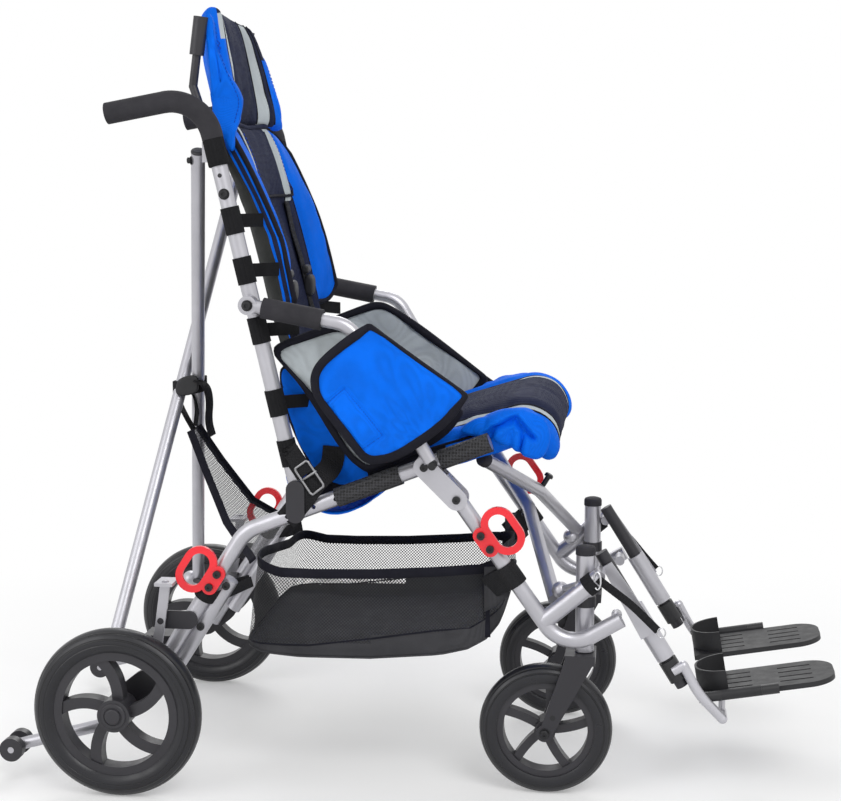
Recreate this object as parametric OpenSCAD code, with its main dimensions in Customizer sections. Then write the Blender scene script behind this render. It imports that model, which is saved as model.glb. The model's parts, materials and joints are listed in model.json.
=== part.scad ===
// Folding special needs buggy, built from separate sub-parts.
// Millimetres. +X is forward, +Y is the rider's left, +Z is up, the ground is at Z = 0.
// Side pieces are drawn for the left side, measured from the rear axle, and mirrored for the right.

/* [Frame] */
// distance between the planes of the two side frames
frame_span = 430; // [400:1:480]
// diameter of the side frame tubes
tube_d = 24; // [20:0.5:26]
// diameter of the four cross tubes
cross_d = 21; // [17:0.5:22]
// distance of the seat rail's front end ahead of the rear axle
rail_front_x = 556; // [530:1:600]
// height of the seat rail's front end
rail_front_z = 544; // [530:1:560]
// distance of the seat rail's bend ahead of the rear axle
rail_bend_x = 186; // [170:1:200]
// height of the seat rail's bend
rail_bend_z = 400; // [390:1:410]
// bend radius of the side frame tubes
frame_bend = 60; // [45:1:75]
// distance of the rear leg's foot ahead of the rear axle
rear_foot_x = 18; // [12:1:26]
// height of the rear leg's foot
rear_foot_z = 134; // [126:1:142]
// distance of the rear leg's second tube from the first one, across the leg
brace_gap = 20; // [18:0.5:21]
// shift of the rear leg's second tube towards the middle
brace_inset = 8; // [6:0.5:9]

/* [Front leg] */
// distance of the front leg's upper end ahead of the rear axle
leg_top_x = 486; // [470:1:492]
// height of the front leg's upper end
leg_top_z = 490; // [470:1:492]
// distance of the front leg's lower corner ahead of the rear axle
leg_corner_x = 668; // [650:1:680]
// height of the front leg's lower corner
leg_corner_z = 232; // [222:1:244]
// distance of the front leg's turned-up end ahead of the rear axle
leg_end_x = 752; // [740:1:760]
// height of the front leg's turned-up end
leg_end_z = 283; // [275:1:290]
// bend radius at the front leg's lower corner
leg_bend = 50; // [40:1:60]
// diameter of the short tube between the leg and the footrest hanger
strut_d = 27; // [24:0.5:30]
// distance of the caster post ahead of the rear axle
post_x = 697; // [692:1:704]
// inward shift of the caster post from the side frame plane
post_inset = 33; // [28:0.5:36]
// diameter of the caster post
post_d = 28; // [24:0.5:30]
// height of the caster post's lower end
post_foot_z = 224; // [222:1:228]
// height of the caster post's upper end
post_top_z = 378; // [365:1:390]

/* [Wheels] */
// rear wheel diameter
rear_d = 260; // [256:1:264]
// rear tyre width
rear_w = 40; // [36:1:44]
// distance of the rear wheel's middle from the side frame plane
rear_out = 65; // [62:0.5:75]
// rear axle diameter
axle_d = 16; // [12:0.5:18]
// front wheel diameter
caster_d = 202; // [196:1:204]
// front wheel tyre width
caster_w = 36; // [30:1:38]
// distance of the front wheel's axle behind the caster post
caster_trail = 57; // [50:1:58]
// number of spokes in each wheel
spokes = 5; // [5:1:6]
// anti-tip roller diameter
roller_d = 37; // [30:1:44]
// anti-tip roller width
roller_w = 15; // [12:1:18]
// distance of the anti-tip rollers behind the rear axle
roller_back = 187; // [170:1:200]
// height of the anti-tip rollers' axle
roller_z = 46; // [42:1:56]

/* [Back and handles] */
// distance of the back tube's pivot ahead of the rear axle
pivot_x = 266; // [262:1:270]
// height of the back tube's pivot
pivot_z = 468; // [466:1:474]
// distance of the push handle's corner ahead of the rear axle
handle_x = 131; // [120:1:140]
// height of the push handle's corner
handle_z = 1049; // [1040:1:1060]
// distance of the push handle's end behind the rear axle
handle_back = 10; // [0:1:25]
// drop of the push handle's end below its corner
handle_drop = 26; // [20:1:32]
// bend radius of the push handle
handle_bend = 62; // [55:1:70]
// diameter of the foam grip
grip_d = 32; // [29:0.5:36]
// height of the armrest's pivot
arm_pivot_z = 744; // [735:1:752]
// diameter of the armrest tube
arm_d = 20; // [17:0.5:22]
// diameter of the armrest pad
arm_pad_d = 31; // [27:0.5:33]
// diameter of the headrest posts
head_post_d = 13; // [10:0.5:14]
// distance of the headrest posts out from the headrest's edge
head_post_out = 2; // [1:0.5:8]

/* [Footrest] */
// distance of the hanger tube's upper end ahead of the rear axle
hang_x = 719; // [718:1:726]
// height of the hanger tube's upper end
hang_z = 372; // [368:1:380]
// slope of the hanger tube below level
hang_slope = 58; // [56:0.5:59]
// length of the hanger tube
hang_len = 238; // [232:1:242]
// diameter of the hanger tube
hang_d = 20; // [17:0.5:21]
// inward shift of the hanger tube from the side frame plane
hang_inset = 50; // [48:0.5:52]
// length of a footplate
plate_len = 207; // [196:1:216]
// width of a footplate
plate_w = 108; // [100:1:112]
// thickness of a footplate
plate_t = 8; // [6:0.5:10]
// upward slope of a footplate
plate_slope = 10; // [6:0.5:12]
// slots in each half of a footplate
plate_slots = 4; // [3:1:6]

/* [Seat and basket] */
// side clearance of the seat cushion from the lap belt
seat_side_gap = 6.5; // [3:0.5:20]
// thickness of the seat cushion
seat_t = 56; // [46:1:60]
// side clearance of the back cushion from the back tubes
back_side_gap = 30.7; // [26:0.1:45]
// thickness of the back cushion
back_t = 46; // [36:1:50]
// side clearance of the headrest from the back tubes
head_side_gap = 54.7; // [50:0.1:70]
// thickness of the headrest
head_t = 48; // [40:1:52]
// side clearance of the basket from the brace tubes
basket_gap = 3; // [2:0.5:20]
// wall thickness of the basket
basket_t = 3; // [2:0.5:4]

/* [Fits] */
// gap between pieces that sit against each other
seat_gap = 0.3; // [0.2:0.05:0.5]
// clearance round a turning or sliding pin
run_gap = 0.05; // [0.02:0.01:0.1]

/* [Hidden] */
$fn = 48;

// overrun of every cut past the faces it cuts
cut = 2;
// how far straight tube runs into a bend, and how much thicker the bend is
lap = 2;
skin = 0.15;
tube_r = tube_d / 2;
cross_r = cross_d / 2;
strut_r = strut_d / 2;
post_r = post_d / 2;
axle_r = axle_d / 2;
arm_r = arm_d / 2;
hang_r = hang_d / 2;
grip_r = grip_d / 2;
rear_r = rear_d / 2;
caster_r = caster_d / 2;
roller_r = roller_d / 2;
head_post_r = head_post_d / 2;
axle_z = rear_r;
caster_z = caster_r;
side_y = frame_span / 2;
// outer and inner faces of the side frame tubes, with the seating gap
face_out = side_y + tube_r + seat_gap;
face_in = side_y - tube_r - seat_gap;
// widths of the soft pieces between the side frames
back_w = (face_in - back_side_gap) * 2;
head_w = (face_in - head_side_gap) * 2;
basket_w = (side_y - brace_inset - tube_r - basket_gap) * 2;
head_post_y = head_w / 2 + head_post_out;
post_y = side_y - post_inset;
hang_y = side_y - hang_inset;
wheel_y = side_y + rear_out;
caster_x = post_x - caster_trail;

rail_front = [rail_front_x, side_y, rail_front_z];
rail_bend = [rail_bend_x, side_y, rail_bend_z];
rear_foot = [rear_foot_x, side_y, rear_foot_z];
leg_top = [leg_top_x, side_y, leg_top_z];
leg_corner = [leg_corner_x, side_y, leg_corner_z];
leg_end = [leg_end_x, side_y, leg_end_z];
pivot = [pivot_x, side_y, pivot_z];
handle_corner = [handle_x, side_y, handle_z];
handle_end = [-handle_back, side_y, handle_z - handle_drop];

function unit(v) = v / norm(v);
function mix(a, b, share) = a + (b - a) * share;
function at_y(p, y) = [p.x, y, p.z];
// point on the line a b at the given height
function at_height(a, b, z) = mix(a, b, (z - a.z) / (b.z - a.z));
// signed turn of the path a b c in the XZ plane
function turn_raw(a, b, c) = atan2((c - b).z, (c - b).x) - atan2((b - a).z, (b - a).x);
function turn(a, b, c) = let(t = turn_raw(a, b, c)) t > 180 ? t - 360 : (t < -180 ? t + 360 : t);
function reach(a, b, c, bend) = bend * tan(abs(turn(a, b, c)) / 2);
function flat(list) = [for (row = list) each row];

module left() translate([-mid_x, 0, 0]) children();
module right() translate([-mid_x, 0, 0]) mirror([0, 1, 0]) children();

// round bar from a to b
module rod(a, b, r) {
  v = b - a;
  translate(a) rotate([0, acos(v.z / norm(v)), atan2(v.y, v.x)]) cylinder(r = r, h = norm(v));
}

// round bar across the buggy
module pin(x, z, y0, y1, r) translate([x, y1, z]) rotate([90, 0, 0]) cylinder(r = r, h = y1 - y0);

// flat plate across the buggy from a drawing in the XZ plane
module slab(y0, y1) translate([0, y1, 0]) rotate([90, 0, 0]) linear_extrude(y1 - y0) children();

// tube bend at b on the way from a to c
module elbow(a, b, c, bend, r) {
  back = unit(a - b);
  ahead = unit(c - b);
  f = turn(a, b, c);
  middle = b + unit(back + ahead) * bend / cos(f / 2);
  first = b + (f > 0 ? back : ahead) * reach(a, b, c, bend);
  w = first - middle;
  translate(middle) rotate([90, 0, 0]) rotate([0, 0, atan2(w.z, w.x)])
    rotate_extrude(angle = abs(f)) translate([bend, 0]) circle(r = r);
}

// tube through three points with a bend at the middle one
module bent_tube(a, b, c, bend, r) {
  rod(a, b + unit(a - b) * (reach(a, b, c, bend) - lap), r);
  rod(b + unit(c - b) * (reach(a, b, c, bend) - lap), c, r);
  elbow(a, b, c, bend, r + skin);
}

// outline of a flat bar with round ends
round_steps = 12;
function around(r, angle) = r * [cos(angle), sin(angle)];
function half_ring(p, r, start) =
  [for (i = [0 : round_steps]) p + around(r, start + i * 180 / round_steps)];
function bar_outline(a, b, r) =
  let(start = atan2(b.y - a.y, b.x - a.x) + 90)
  concat(half_ring(a, r, start), half_ring(b, r, start + 180));
function xz(p) = [p.x, p.z];

// closed soft form between a top and a bottom grid of points
module pad(top, low) {
  n = len(top);
  m = len(top[0]);
  last = n - 1;
  side = m - 1;
  under = n * m;
  points = concat(flat(top), flat(low));
  upper = [for (i = [0 : n - 2], j = [0 : m - 2])
    each [[i * m + j, i * m + j + 1, i * m + m + j + 1], [i * m + j, i * m + m + j + 1, i * m + m + j]]];
  lower = [for (f = upper) [under + f[2], under + f[1], under + f[0]]];
  edge = concat(
    [for (i = [0 : n - 2]) [i * m, i * m + m]],
    [for (j = [0 : m - 2]) [last * m + j, last * m + j + 1]],
    [for (i = [0 : n - 2]) [(last - i) * m + side, (last - i) * m - m + side]],
    [for (j = [0 : m - 2]) [side - j, side - j - 1]]
  );
  rim = [for (e = edge) each [[e[0], e[1], under + e[1]], [e[0], under + e[1], under + e[0]]]];
  polyhedron(points = points, faces = concat(upper, lower, rim));
}

// side frame: seat rail, rear leg, second leg tube and anti-tip arm
leg_dir = unit(rear_foot - rail_bend);
brace_shift = [-leg_dir.z * brace_gap, -brace_inset, leg_dir.x * brace_gap];
brace_shares = [0.2, 0.85];
tip_start_share = 0.9;
tip_elbow_back = 36;
tip_elbow_z = 88;
tip_elbow = [-tip_elbow_back, side_y, tip_elbow_z];
tip_end = [-roller_back, side_y, roller_z];
tip_bend = 40;
tip_r = 9.5;
roller_axle_r = 5;
roller_gap = 1.5;
roller_reach = tip_r + roller_gap + roller_w;
rail_hole_r = 3.2;
rail_hole_shares = [0.62, 0.71, 0.82];
module side_rail() {
  leg_start = rail_bend + leg_dir * reach(rail_front, rail_bend, rear_foot, frame_bend);
  difference() {
    union() {
      bent_tube(rail_front, rail_bend, rear_foot, frame_bend, tube_r);
      rod(mix(leg_start, rear_foot, brace_shares[0]) + brace_shift,
          mix(leg_start, rear_foot, brace_shares[1]) + brace_shift, tube_r);
      bent_tube(mix(leg_start, rear_foot, tip_start_share), tip_elbow, tip_end, tip_bend, tip_r);
      pin(tip_end.x, tip_end.z, side_y - roller_reach, side_y + roller_reach, roller_axle_r);
    }
    for (share = rail_hole_shares)
      pin(mix(rail_front, rail_bend, share).x, mix(rail_front, rail_bend, share).z,
          side_y - tube_r - cut, side_y + tube_r + cut, rail_hole_r);
  }
}

// front leg weldment: leg, short tube, caster post, footrest sleeve and gusset
strut_start_share = 0.83;
strut_end_x = 719;
strut_end_z = 346;
strut_end = [strut_end_x, side_y, strut_end_z];
stem_r = 7;
stem_len = 70;
weld_r = 8;
weld_in = 5;
weld_back = 9;
hang_dir = [cos(hang_slope), 0, -sin(hang_slope)];
hang_top = [hang_x, hang_y, hang_z];
sleeve_start = 96;
sleeve_len = 92;
sleeve_wall = 4;
gusset_t = 4;
gusset_gap = 3;
gusset_start = 18;
gusset_half = 8;
gusset_wide = 15;
front_pin_axis = unit([0.55623, 0.73866, 0.38078]);
front_pivot_x = 660;
front_pivot_z = 316;
front_pivot = [front_pivot_x, post_y, front_pivot_z];
front_pin_r = 5;
front_pin_in = 6;
front_pin_out = 47;
function along_hang(t) = hang_top + hang_dir * t;
module front_leg() {
  strut_start = mix(leg_top, leg_corner, strut_start_share);
  arc_middle = leg_corner + unit(unit(leg_top - leg_corner) + unit(leg_end - leg_corner))
    * leg_bend / cos(turn(leg_top, leg_corner, leg_end) / 2);
  weld_z = arc_middle.z - sqrt(pow(leg_bend, 2) - pow(post_x - arc_middle.x, 2));
  strut_weld = mix(strut_start, strut_end, (post_x - strut_start.x) / (strut_end.x - strut_start.x));
  gusset_y = hang_y + hang_r + gusset_gap;
  across = [sin(hang_slope), 0, cos(hang_slope)];
  end_weld = leg_end + unit(leg_corner - leg_end) * weld_back;
  g0 = along_hang(gusset_start);
  g1 = along_hang(sleeve_start + sleeve_len / 2);
  difference() {
    union() {
      bent_tube(leg_top, leg_corner, leg_end, leg_bend, tube_r);
      rod(strut_start, strut_end, strut_r);
      translate([post_x, post_y, post_foot_z]) cylinder(r = post_r, h = post_top_z - post_foot_z);
      pin(post_x, weld_z, post_y, side_y, weld_r);
      pin(post_x, strut_weld.z, post_y, side_y, weld_r);
      rod(along_hang(sleeve_start), along_hang(sleeve_start + sleeve_len), hang_r + sleeve_wall);
      slab(gusset_y, gusset_y + gusset_t)
        polygon([xz(g0 - across * gusset_half), xz(g0 + across * gusset_half),
                 xz(g1 + across * gusset_wide), xz(g1 - across * gusset_wide)]);
      pin(end_weld.x, end_weld.z, hang_y + weld_in, side_y, weld_r);
      pin(strut_end.x, strut_end.z, gusset_y, side_y, weld_r);
      rod(front_pivot - front_pin_axis * front_pin_in, front_pivot + front_pin_axis * front_pin_out,
          front_pin_r);
    }
    rod(hang_top, along_hang(hang_len + hang_len), hang_r + run_gap);
    translate([post_x, post_y, post_foot_z - cut]) cylinder(r = stem_r + run_gap, h = stem_len + cut);
  }
}

// silver cheek plates that join the front leg to the seat rail
bracket_rail_share = 0.26;
bracket_leg_share = 0.12;
bracket_r = 16;
bracket_t = 3;
module leg_bracket() {
  a = mix(rail_front, rail_bend, bracket_rail_share);
  b = mix(leg_top, leg_corner, bracket_leg_share);
  slab(face_out, face_out + bracket_t) polygon(bar_outline(xz(a), xz(b), bracket_r));
  slab(face_in - bracket_t, face_in) polygon(bar_outline(xz(a), xz(b), bracket_r));
}

// red tie-down loops, bolted to the rear leg and the front leg
loop_out = 26;
loop_in = 15;
loop_long = 24;
loop_shift = 31;
loop_t = 6;
lug_r = 12;
lug_half = 12;
rear_loop_share = 0.28;
front_loop_share = 0.36;
module tie_loop(middle, line, away) {
  a = middle + line * loop_long / 2 + away * loop_shift;
  b = middle - line * loop_long / 2 + away * loop_shift;
  difference() {
    union() {
      polygon(bar_outline(a, b, loop_out));
      polygon(bar_outline(middle + line * lug_half, middle - line * lug_half, lug_r));
      polygon([middle + line * lug_half * 2, middle - line * lug_half * 2,
               b, a]);
    }
    polygon(bar_outline(a, b, loop_in));
  }
}
rear_loop = mix(rail_bend, rear_foot, rear_loop_share);
front_loop = mix(leg_top, leg_corner, front_loop_share);
front_leg_dir = unit(leg_corner - leg_top);
module tie_downs() {
  slab(face_out, face_out + loop_t) tie_loop(xz(rear_loop), xz(leg_dir), [leg_dir.z, -leg_dir.x]);
  slab(face_out, face_out + loop_t)
    tie_loop(xz(front_loop), xz(front_leg_dir), [-front_leg_dir.z, front_leg_dir.x]);
}

// black bolt heads on the outside of the frame
bolt_r = 6;
bolt_h = 4;
socket_r = 2.5;
brace_bolt_shares = [0.05, 0.45, 0.8];
arm_stud_x = 474;
arm_stud_r = 6;
module bolt(p, y) difference() {
  pin(p.x, p.z, y, y + bolt_h, bolt_r);
  pin(p.x, p.z, y + bolt_h / 2, y + bolt_h + cut, socket_r);
}
function rail_z(x) = mix(rail_front, rail_bend, (rail_front.x - x) / (rail_front.x - rail_bend.x)).z;
module frame_bolts() {
  leg_start = rail_bend + leg_dir * reach(rail_front, rail_bend, rear_foot, frame_bend);
  b0 = mix(leg_start, rear_foot, brace_shares[0]) + brace_shift;
  b1 = mix(leg_start, rear_foot, brace_shares[1]) + brace_shift;
  for (s = [-1, 1]) {
    bolt(rear_loop + leg_dir * lug_half * s, face_out + loop_t + seat_gap);
    bolt(front_loop + front_leg_dir * lug_half * s, face_out + loop_t + seat_gap);
  }
  for (share = brace_bolt_shares)
    bolt(mix(b0, b1, share), side_y - brace_inset + tube_r + seat_gap);
  bolt(mix(rail_front, rail_bend, bracket_rail_share), face_out + bracket_t + seat_gap);
  bolt(mix(leg_top, leg_corner, bracket_leg_share), face_out + bracket_t + seat_gap);
  pin(arm_stud_x, rail_z(arm_stud_x), face_out + bracket_t + seat_gap, arm_y + arm_r, arm_stud_r);
}

// woven grip sleeves on the seat rail
sleeve_shares = [[0.0, 0.2], [0.36, 0.62]];
grip_sleeve_wall = 2.6;
module rail_sleeves() for (s = sleeve_shares) {
  a = mix(rail_front, rail_bend, s[0]);
  b = mix(rail_front, rail_bend, s[1]);
  difference() {
    rod(a, b, tube_r + run_gap + grip_sleeve_wall);
    rod(a - unit(b - a) * cut, b + unit(b - a) * cut, tube_r + run_gap);
  }
}

// black brackets: back pivot cheeks, cross tube channel, axle plate and axle
cheek_t = 4;
cheek_r = 14;
pivot_pin_r = 5;
plate_r = 26;
axle_plate_t = 8;
rear_pivot_back = 16;
rear_pivot_in = 19;
rear_pivot_z = 215;
rear_pivot = [-rear_pivot_back, side_y - rear_pivot_in, rear_pivot_z];
rear_pin_axis = unit([0.76438, -0.64405, 0.03037]);
rear_pin_r = 5;
rear_pin_in = 6;
rear_pin_out = 46;
channel_h = 26;
channel_wall = 3.5;
channel_side = 9;
brake_x = 58;
brake_z = 262;
brake_pin_r = 5;
brake_t = 5;
lever_out = 9;
lever_y = face_out + lever_out;
axle_shy = 4;
axle_end = wheel_y + rear_w / 2 - axle_shy;
module frame_brackets() {
  rail_point = [pivot_x, side_y, rail_z(pivot_x)];
  leg_point = at_height(rail_bend, rear_foot, rear_pivot.z);
  brake_leg = at_height(rail_bend, rear_foot, brake_z);
  pin_end = rear_pivot + rear_pin_axis * rear_pin_out;
  channel_w = face_in + cut - pin_end.y + channel_side;
  difference() {
    union() {
      slab(face_out, face_out + cheek_t) polygon(bar_outline(xz(rail_point), xz(pivot), cheek_r));
      slab(face_in - cheek_t, face_in) polygon(bar_outline(xz(rail_point), xz(pivot), cheek_r));
      pin(pivot_x, pivot_z, face_in - cheek_t, face_out + cheek_t, pivot_pin_r);
      difference() {
        translate([pin_end.x, pin_end.y - channel_side, rear_pivot.z - channel_h / 2])
          cube([leg_point.x - pin_end.x, channel_w, channel_h]);
        translate([pin_end.x + channel_wall, pin_end.y - channel_side + channel_wall,
                   rear_pivot.z - channel_h / 2 - cut])
          cube([leg_point.x - pin_end.x - channel_wall * 2, channel_w - channel_wall * 2,
                channel_h - channel_wall + cut]);
      }
      rod(rear_pivot - rear_pin_axis * rear_pin_in, pin_end + rear_pin_axis * cut, rear_pin_r);
      slab(face_out, face_out + axle_plate_t)
        polygon(bar_outline([0, axle_z], [rear_foot.x, rear_foot.z] - xz(leg_dir) * plate_r, plate_r));
      pin(0, axle_z, face_out, axle_end, axle_r);
      slab(face_out, face_out + cheek_t) polygon(bar_outline(xz(brake_leg), [brake_x, brake_z], cheek_r));
      pin(brake_x, brake_z, face_out, lever_y + brake_t + seat_gap * 2, brake_pin_r);
    }
    bent_tube(rail_front, rail_bend, rear_foot + leg_dir * cut, frame_bend, tube_r + seat_gap);
    rod(mix(rail_bend, rear_foot, brace_shares[0]) + brace_shift, rear_foot + brace_shift, tube_r + seat_gap);
  }
}

// back tube with its push handle, armrest bolt and rear lug
back_dir = unit(handle_corner - pivot);
tube_below = 14;
arm_y = face_out + bracket_t + arm_r + seat_gap * 2;
arm_pin_r = 5;
arm_pivot = at_height(pivot, handle_corner, arm_pivot_z);
cross_top_x = 104;
cross_top_z = 966;
cross_top = [cross_top_x, side_y - rear_pivot_in, cross_top_z];
lug_gap = 0.7;
lug_h = 30;
lug_t = 10;
lug_inset = 16;
module back_upright(ahead) {
  lug_point = at_height(pivot, handle_corner, cross_top.z);
  lug_x = cross_top.x + rear_cross_shift * ahead + cross_r + lug_gap;
  difference() {
    union() {
      bent_tube(pivot - back_dir * tube_below, handle_corner, handle_end, handle_bend, tube_r);
      pin(arm_pivot.x, arm_pivot.z, side_y, arm_y + arm_r + seat_gap, arm_pin_r);
      translate([lug_x, side_y - lug_inset - lug_t / 2, cross_top.z - lug_h / 2])
        cube([lug_point.x - lug_x, lug_inset + lug_t / 2, lug_h]);
    }
    pin(pivot_x, pivot_z, side_y - tube_r - cut, side_y + tube_r + cut, pivot_pin_r + run_gap);
  }
}

// foam grip over the push handle
grip_start_share = 0.89;
grip_cap = 4;
module push_grip() {
  a = mix(pivot, handle_corner, grip_start_share);
  e = unit(handle_end - handle_corner);
  difference() {
    bent_tube(a, handle_corner, handle_end + e * grip_cap, handle_bend, grip_r);
    bent_tube(a - back_dir * cut, handle_corner, handle_end + e * run_gap, handle_bend, tube_r + run_gap);
  }
}

// webbing straps that hold the back cover to the back tube
strap_heights = [597, 705, 793, 866];
band_heights = [522];
strap_w = 40;
strap_t = 2;
module strap_ring(z) {
  p = at_height(pivot, handle_corner, z);
  difference() {
    union() {
      rod(p - back_dir * strap_w / 2, p + back_dir * strap_w / 2, tube_r + run_gap + strap_t);
      children();
    }
    rod(p - back_dir * strap_w, p + back_dir * strap_w, tube_r + run_gap);
  }
}
module upright_straps() {
  for (z = strap_heights) {
    p = at_height(pivot, handle_corner, z);
    edge = [back_edge_x(z), back_w / 2 + seat_gap];
    strap_ring(z) translate([0, 0, p.z - strap_w / 4]) linear_extrude(strap_w / 2)
      polygon([[p.x, side_y], [p.x + strap_t * 2, side_y],
               [edge.x + strap_t / 2, edge.y], [edge.x - strap_t / 2, edge.y]]);
  }
  for (z = band_heights) strap_ring(z);
}

// headrest post with its clamp and foam sleeve
post_low_z = 905;
head_bend_x = 100;
head_bend_z = 1064;
head_top_x = 114;
head_top_z = 1166;
head_bend_p = [head_bend_x, head_post_y, head_bend_z];
head_top_p = [head_top_x, head_post_y, head_top_z];
head_foam_share = 0.45;
head_foam_r = 11;
clamp_r = 7;
module head_post() {
  low = at_height(pivot, handle_corner, post_low_z);
  a = [low.x, side_y - tube_r - clamp_r, low.z];
  difference() {
    union() {
      pin(low.x, low.z, a.y, side_y, clamp_r);
      rod(a, head_bend_p, head_post_r);
      translate(a) sphere(r = clamp_r + skin);
      rod(head_bend_p, head_top_p, head_post_r);
      translate(head_bend_p) sphere(r = head_post_r + skin);
      rod(mix(head_bend_p, head_top_p, head_foam_share), head_top_p, head_foam_r);
    }
    rod(low - back_dir * strap_w, low + back_dir * strap_w, tube_r + seat_gap);
  }
}

// armrest tube, hinged on the back tube
arm_bend_x = 352;
arm_bend_z = 716;
arm_bend_p = [arm_bend_x, arm_y, arm_bend_z];
arm_end_p = [arm_stud_x, arm_y, rail_z(arm_stud_x)];
arm_bend = 45;
arm_hub_r = 14;
hub_shy = 0.8;
arm_lift = arm_stud_r + seat_gap * 2;
module armrest_tube() {
  hinge = at_y(arm_pivot, arm_y);
  tip = arm_end_p + unit(arm_bend_p - arm_end_p) * arm_lift;
  difference() {
    union() {
      bent_tube(hinge, arm_bend_p, tip, arm_bend, arm_r);
      pin(hinge.x, hinge.z, arm_y - arm_r + hub_shy, arm_y + arm_r - hub_shy, arm_hub_r);
    }
    pin(hinge.x, hinge.z, arm_y - arm_r - cut, arm_y + arm_r + cut, arm_pin_r + run_gap);
  }
}

// soft sleeve on the armrest tube
pad_shares = [0.14, 0.84];
module armrest_pad() {
  hinge = at_y(arm_pivot, arm_y);
  a = mix(hinge, arm_bend_p, pad_shares[0]);
  straight = arm_bend_p - unit(arm_bend_p - hinge) * reach(hinge, arm_bend_p, arm_end_p, arm_bend);
  b = mix(hinge, straight, pad_shares[1]);
  difference() {
    rod(a, b, arm_pad_d / 2);
    rod(a - unit(b - a) * cut, b + unit(b - a) * cut, arm_r + run_gap);
  }
}

// wheel made of a ring, curved spokes and a hub, about the Z axis
module wheel(ring_in, ring_out, ring_w, hub_r, hub_w, spoke_w, spoke_t, sweep_r, bore_r, bore_from) {
  difference() {
    union() {
      rotate_extrude() translate([ring_in, -ring_w / 2]) square([ring_out - ring_in, ring_w]);
      translate([0, 0, -hub_w / 2]) cylinder(r = hub_r, h = hub_w);
      for (i = [0 : spokes - 1]) rotate([0, 0, i * 360 / spokes])
        translate([0, 0, -spoke_t / 2]) linear_extrude(spoke_t) intersection() {
          translate([0, sweep_r]) difference() {
            circle(r = sweep_r + spoke_w / 2);
            circle(r = sweep_r - spoke_w / 2);
          }
          difference() {
            circle(r = (ring_in + ring_out) / 2);
            circle(r = hub_r / 2);
          }
          translate([0, -ring_out]) square(ring_out * 2);
        }
    }
    translate([0, 0, bore_from]) cylinder(r = bore_r, h = hub_w * 2);
  }
}

// tyre with a round crown, about the Z axis
module tyre(inner, outer, w) rotate_extrude() intersection() {
  translate([outer - w / 2, 0]) circle(r = w / 2);
  translate([inner, -w]) square([outer - inner + cut, w * 2]);
}

rear_tyre_h = 34;
rear_seat_r = rear_r - rear_tyre_h;
rear_ring = 13;
rear_hub_r = 25;
rear_hub_w = 46;
rear_spoke_w = 17;
rear_spoke_t = 22;
rear_sweep = 78;
module at_rear_wheel() translate([0, wheel_y, axle_z]) rotate([90, 0, 0]) children();
module rear_rim() at_rear_wheel()
  wheel(rear_seat_r - rear_ring, rear_seat_r, rear_w - rear_ring, rear_hub_r, rear_hub_w,
        rear_spoke_w, rear_spoke_t, rear_sweep, axle_r + run_gap, wheel_y - axle_end - seat_gap);
module rear_tyre() at_rear_wheel() tyre(rear_seat_r, rear_r, rear_w);

caster_tyre_h = 27;
caster_seat_r = caster_r - caster_tyre_h;
caster_ring = 10;
caster_hub_r = 16;
caster_hub_w = 40;
caster_spoke_w = 13;
caster_spoke_t = 18;
caster_sweep = 150;
caster_axle_r = 6;
module at_caster() translate([caster_x, post_y, caster_z]) rotate([90, 0, 0]) children();
module caster_rim() at_caster()
  wheel(caster_seat_r - caster_ring, caster_seat_r, caster_w - caster_ring, caster_hub_r, caster_hub_w,
        caster_spoke_w, caster_spoke_t, caster_sweep, caster_axle_r + run_gap, -caster_hub_w);
module caster_tyre() at_caster() tyre(caster_seat_r, caster_r, caster_w);

// caster fork with stem, crown, two legs and the wheel axle
fork_in = 22;
fork_t = 8;
fork_gap = 1;
crown_h = 15;
crown_back = 28;
crown_ahead = 17;
fork_foot_r = 13;
fork_waist = 13;
module caster_fork() {
  crown_top = post_foot_z - fork_gap;
  translate([post_x, post_y, crown_top - crown_h / 2])
    cylinder(r = stem_r, h = stem_len + crown_h / 2 - fork_gap);
  translate([post_x - crown_back, post_y - fork_in - fork_t, crown_top - crown_h])
    cube([crown_back + crown_ahead, (fork_in + fork_t) * 2, crown_h]);
  for (s = [0, 1]) {
    y = post_y - fork_in - fork_t + s * (fork_in * 2 + fork_t);
    slab(y, y + fork_t) {
      translate([caster_x, caster_z]) circle(r = fork_foot_r);
      polygon([[caster_x - fork_waist / 2, caster_z + fork_waist / 2],
               [post_x - crown_back, crown_top - crown_h / 2],
               [post_x + crown_ahead, crown_top - crown_h / 2],
               [caster_x + fork_waist, caster_z]]);
    }
  }
  pin(caster_x, caster_z, post_y - fork_in - fork_t / 2, post_y + fork_in + fork_t / 2, caster_axle_r);
}

// rear cross tube, pivoted at its lower end on this side
rear_ball_r = 15;
rear_cross_shift = 14;
cross_tail = 26;
cross_cap = 5;
module cross_pivot(low, seam, ball_r, axis, pin_r, pin_in, pin_out) difference() {
  union() {
    children();
    translate(low) rotate([0, 0, seam]) sphere(r = ball_r);
  }
  rod(low - axis * (pin_in + run_gap), low + axis * (pin_out + ball_r), pin_r + run_gap);
}
function far_side(p) = [p.x, -p.y, p.z];
module rear_cross(ahead) {
  shift = [rear_cross_shift * ahead, 0, 0];
  high = far_side(cross_top);
  cross_pivot(rear_pivot, shift.x > 0 ? 180 : 0, rear_ball_r, rear_pin_axis, rear_pin_r, rear_pin_in,
              rear_pin_out)
    rod(rear_pivot + shift - unit(high - rear_pivot) * cross_tail, high + shift, cross_r);
}

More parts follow.
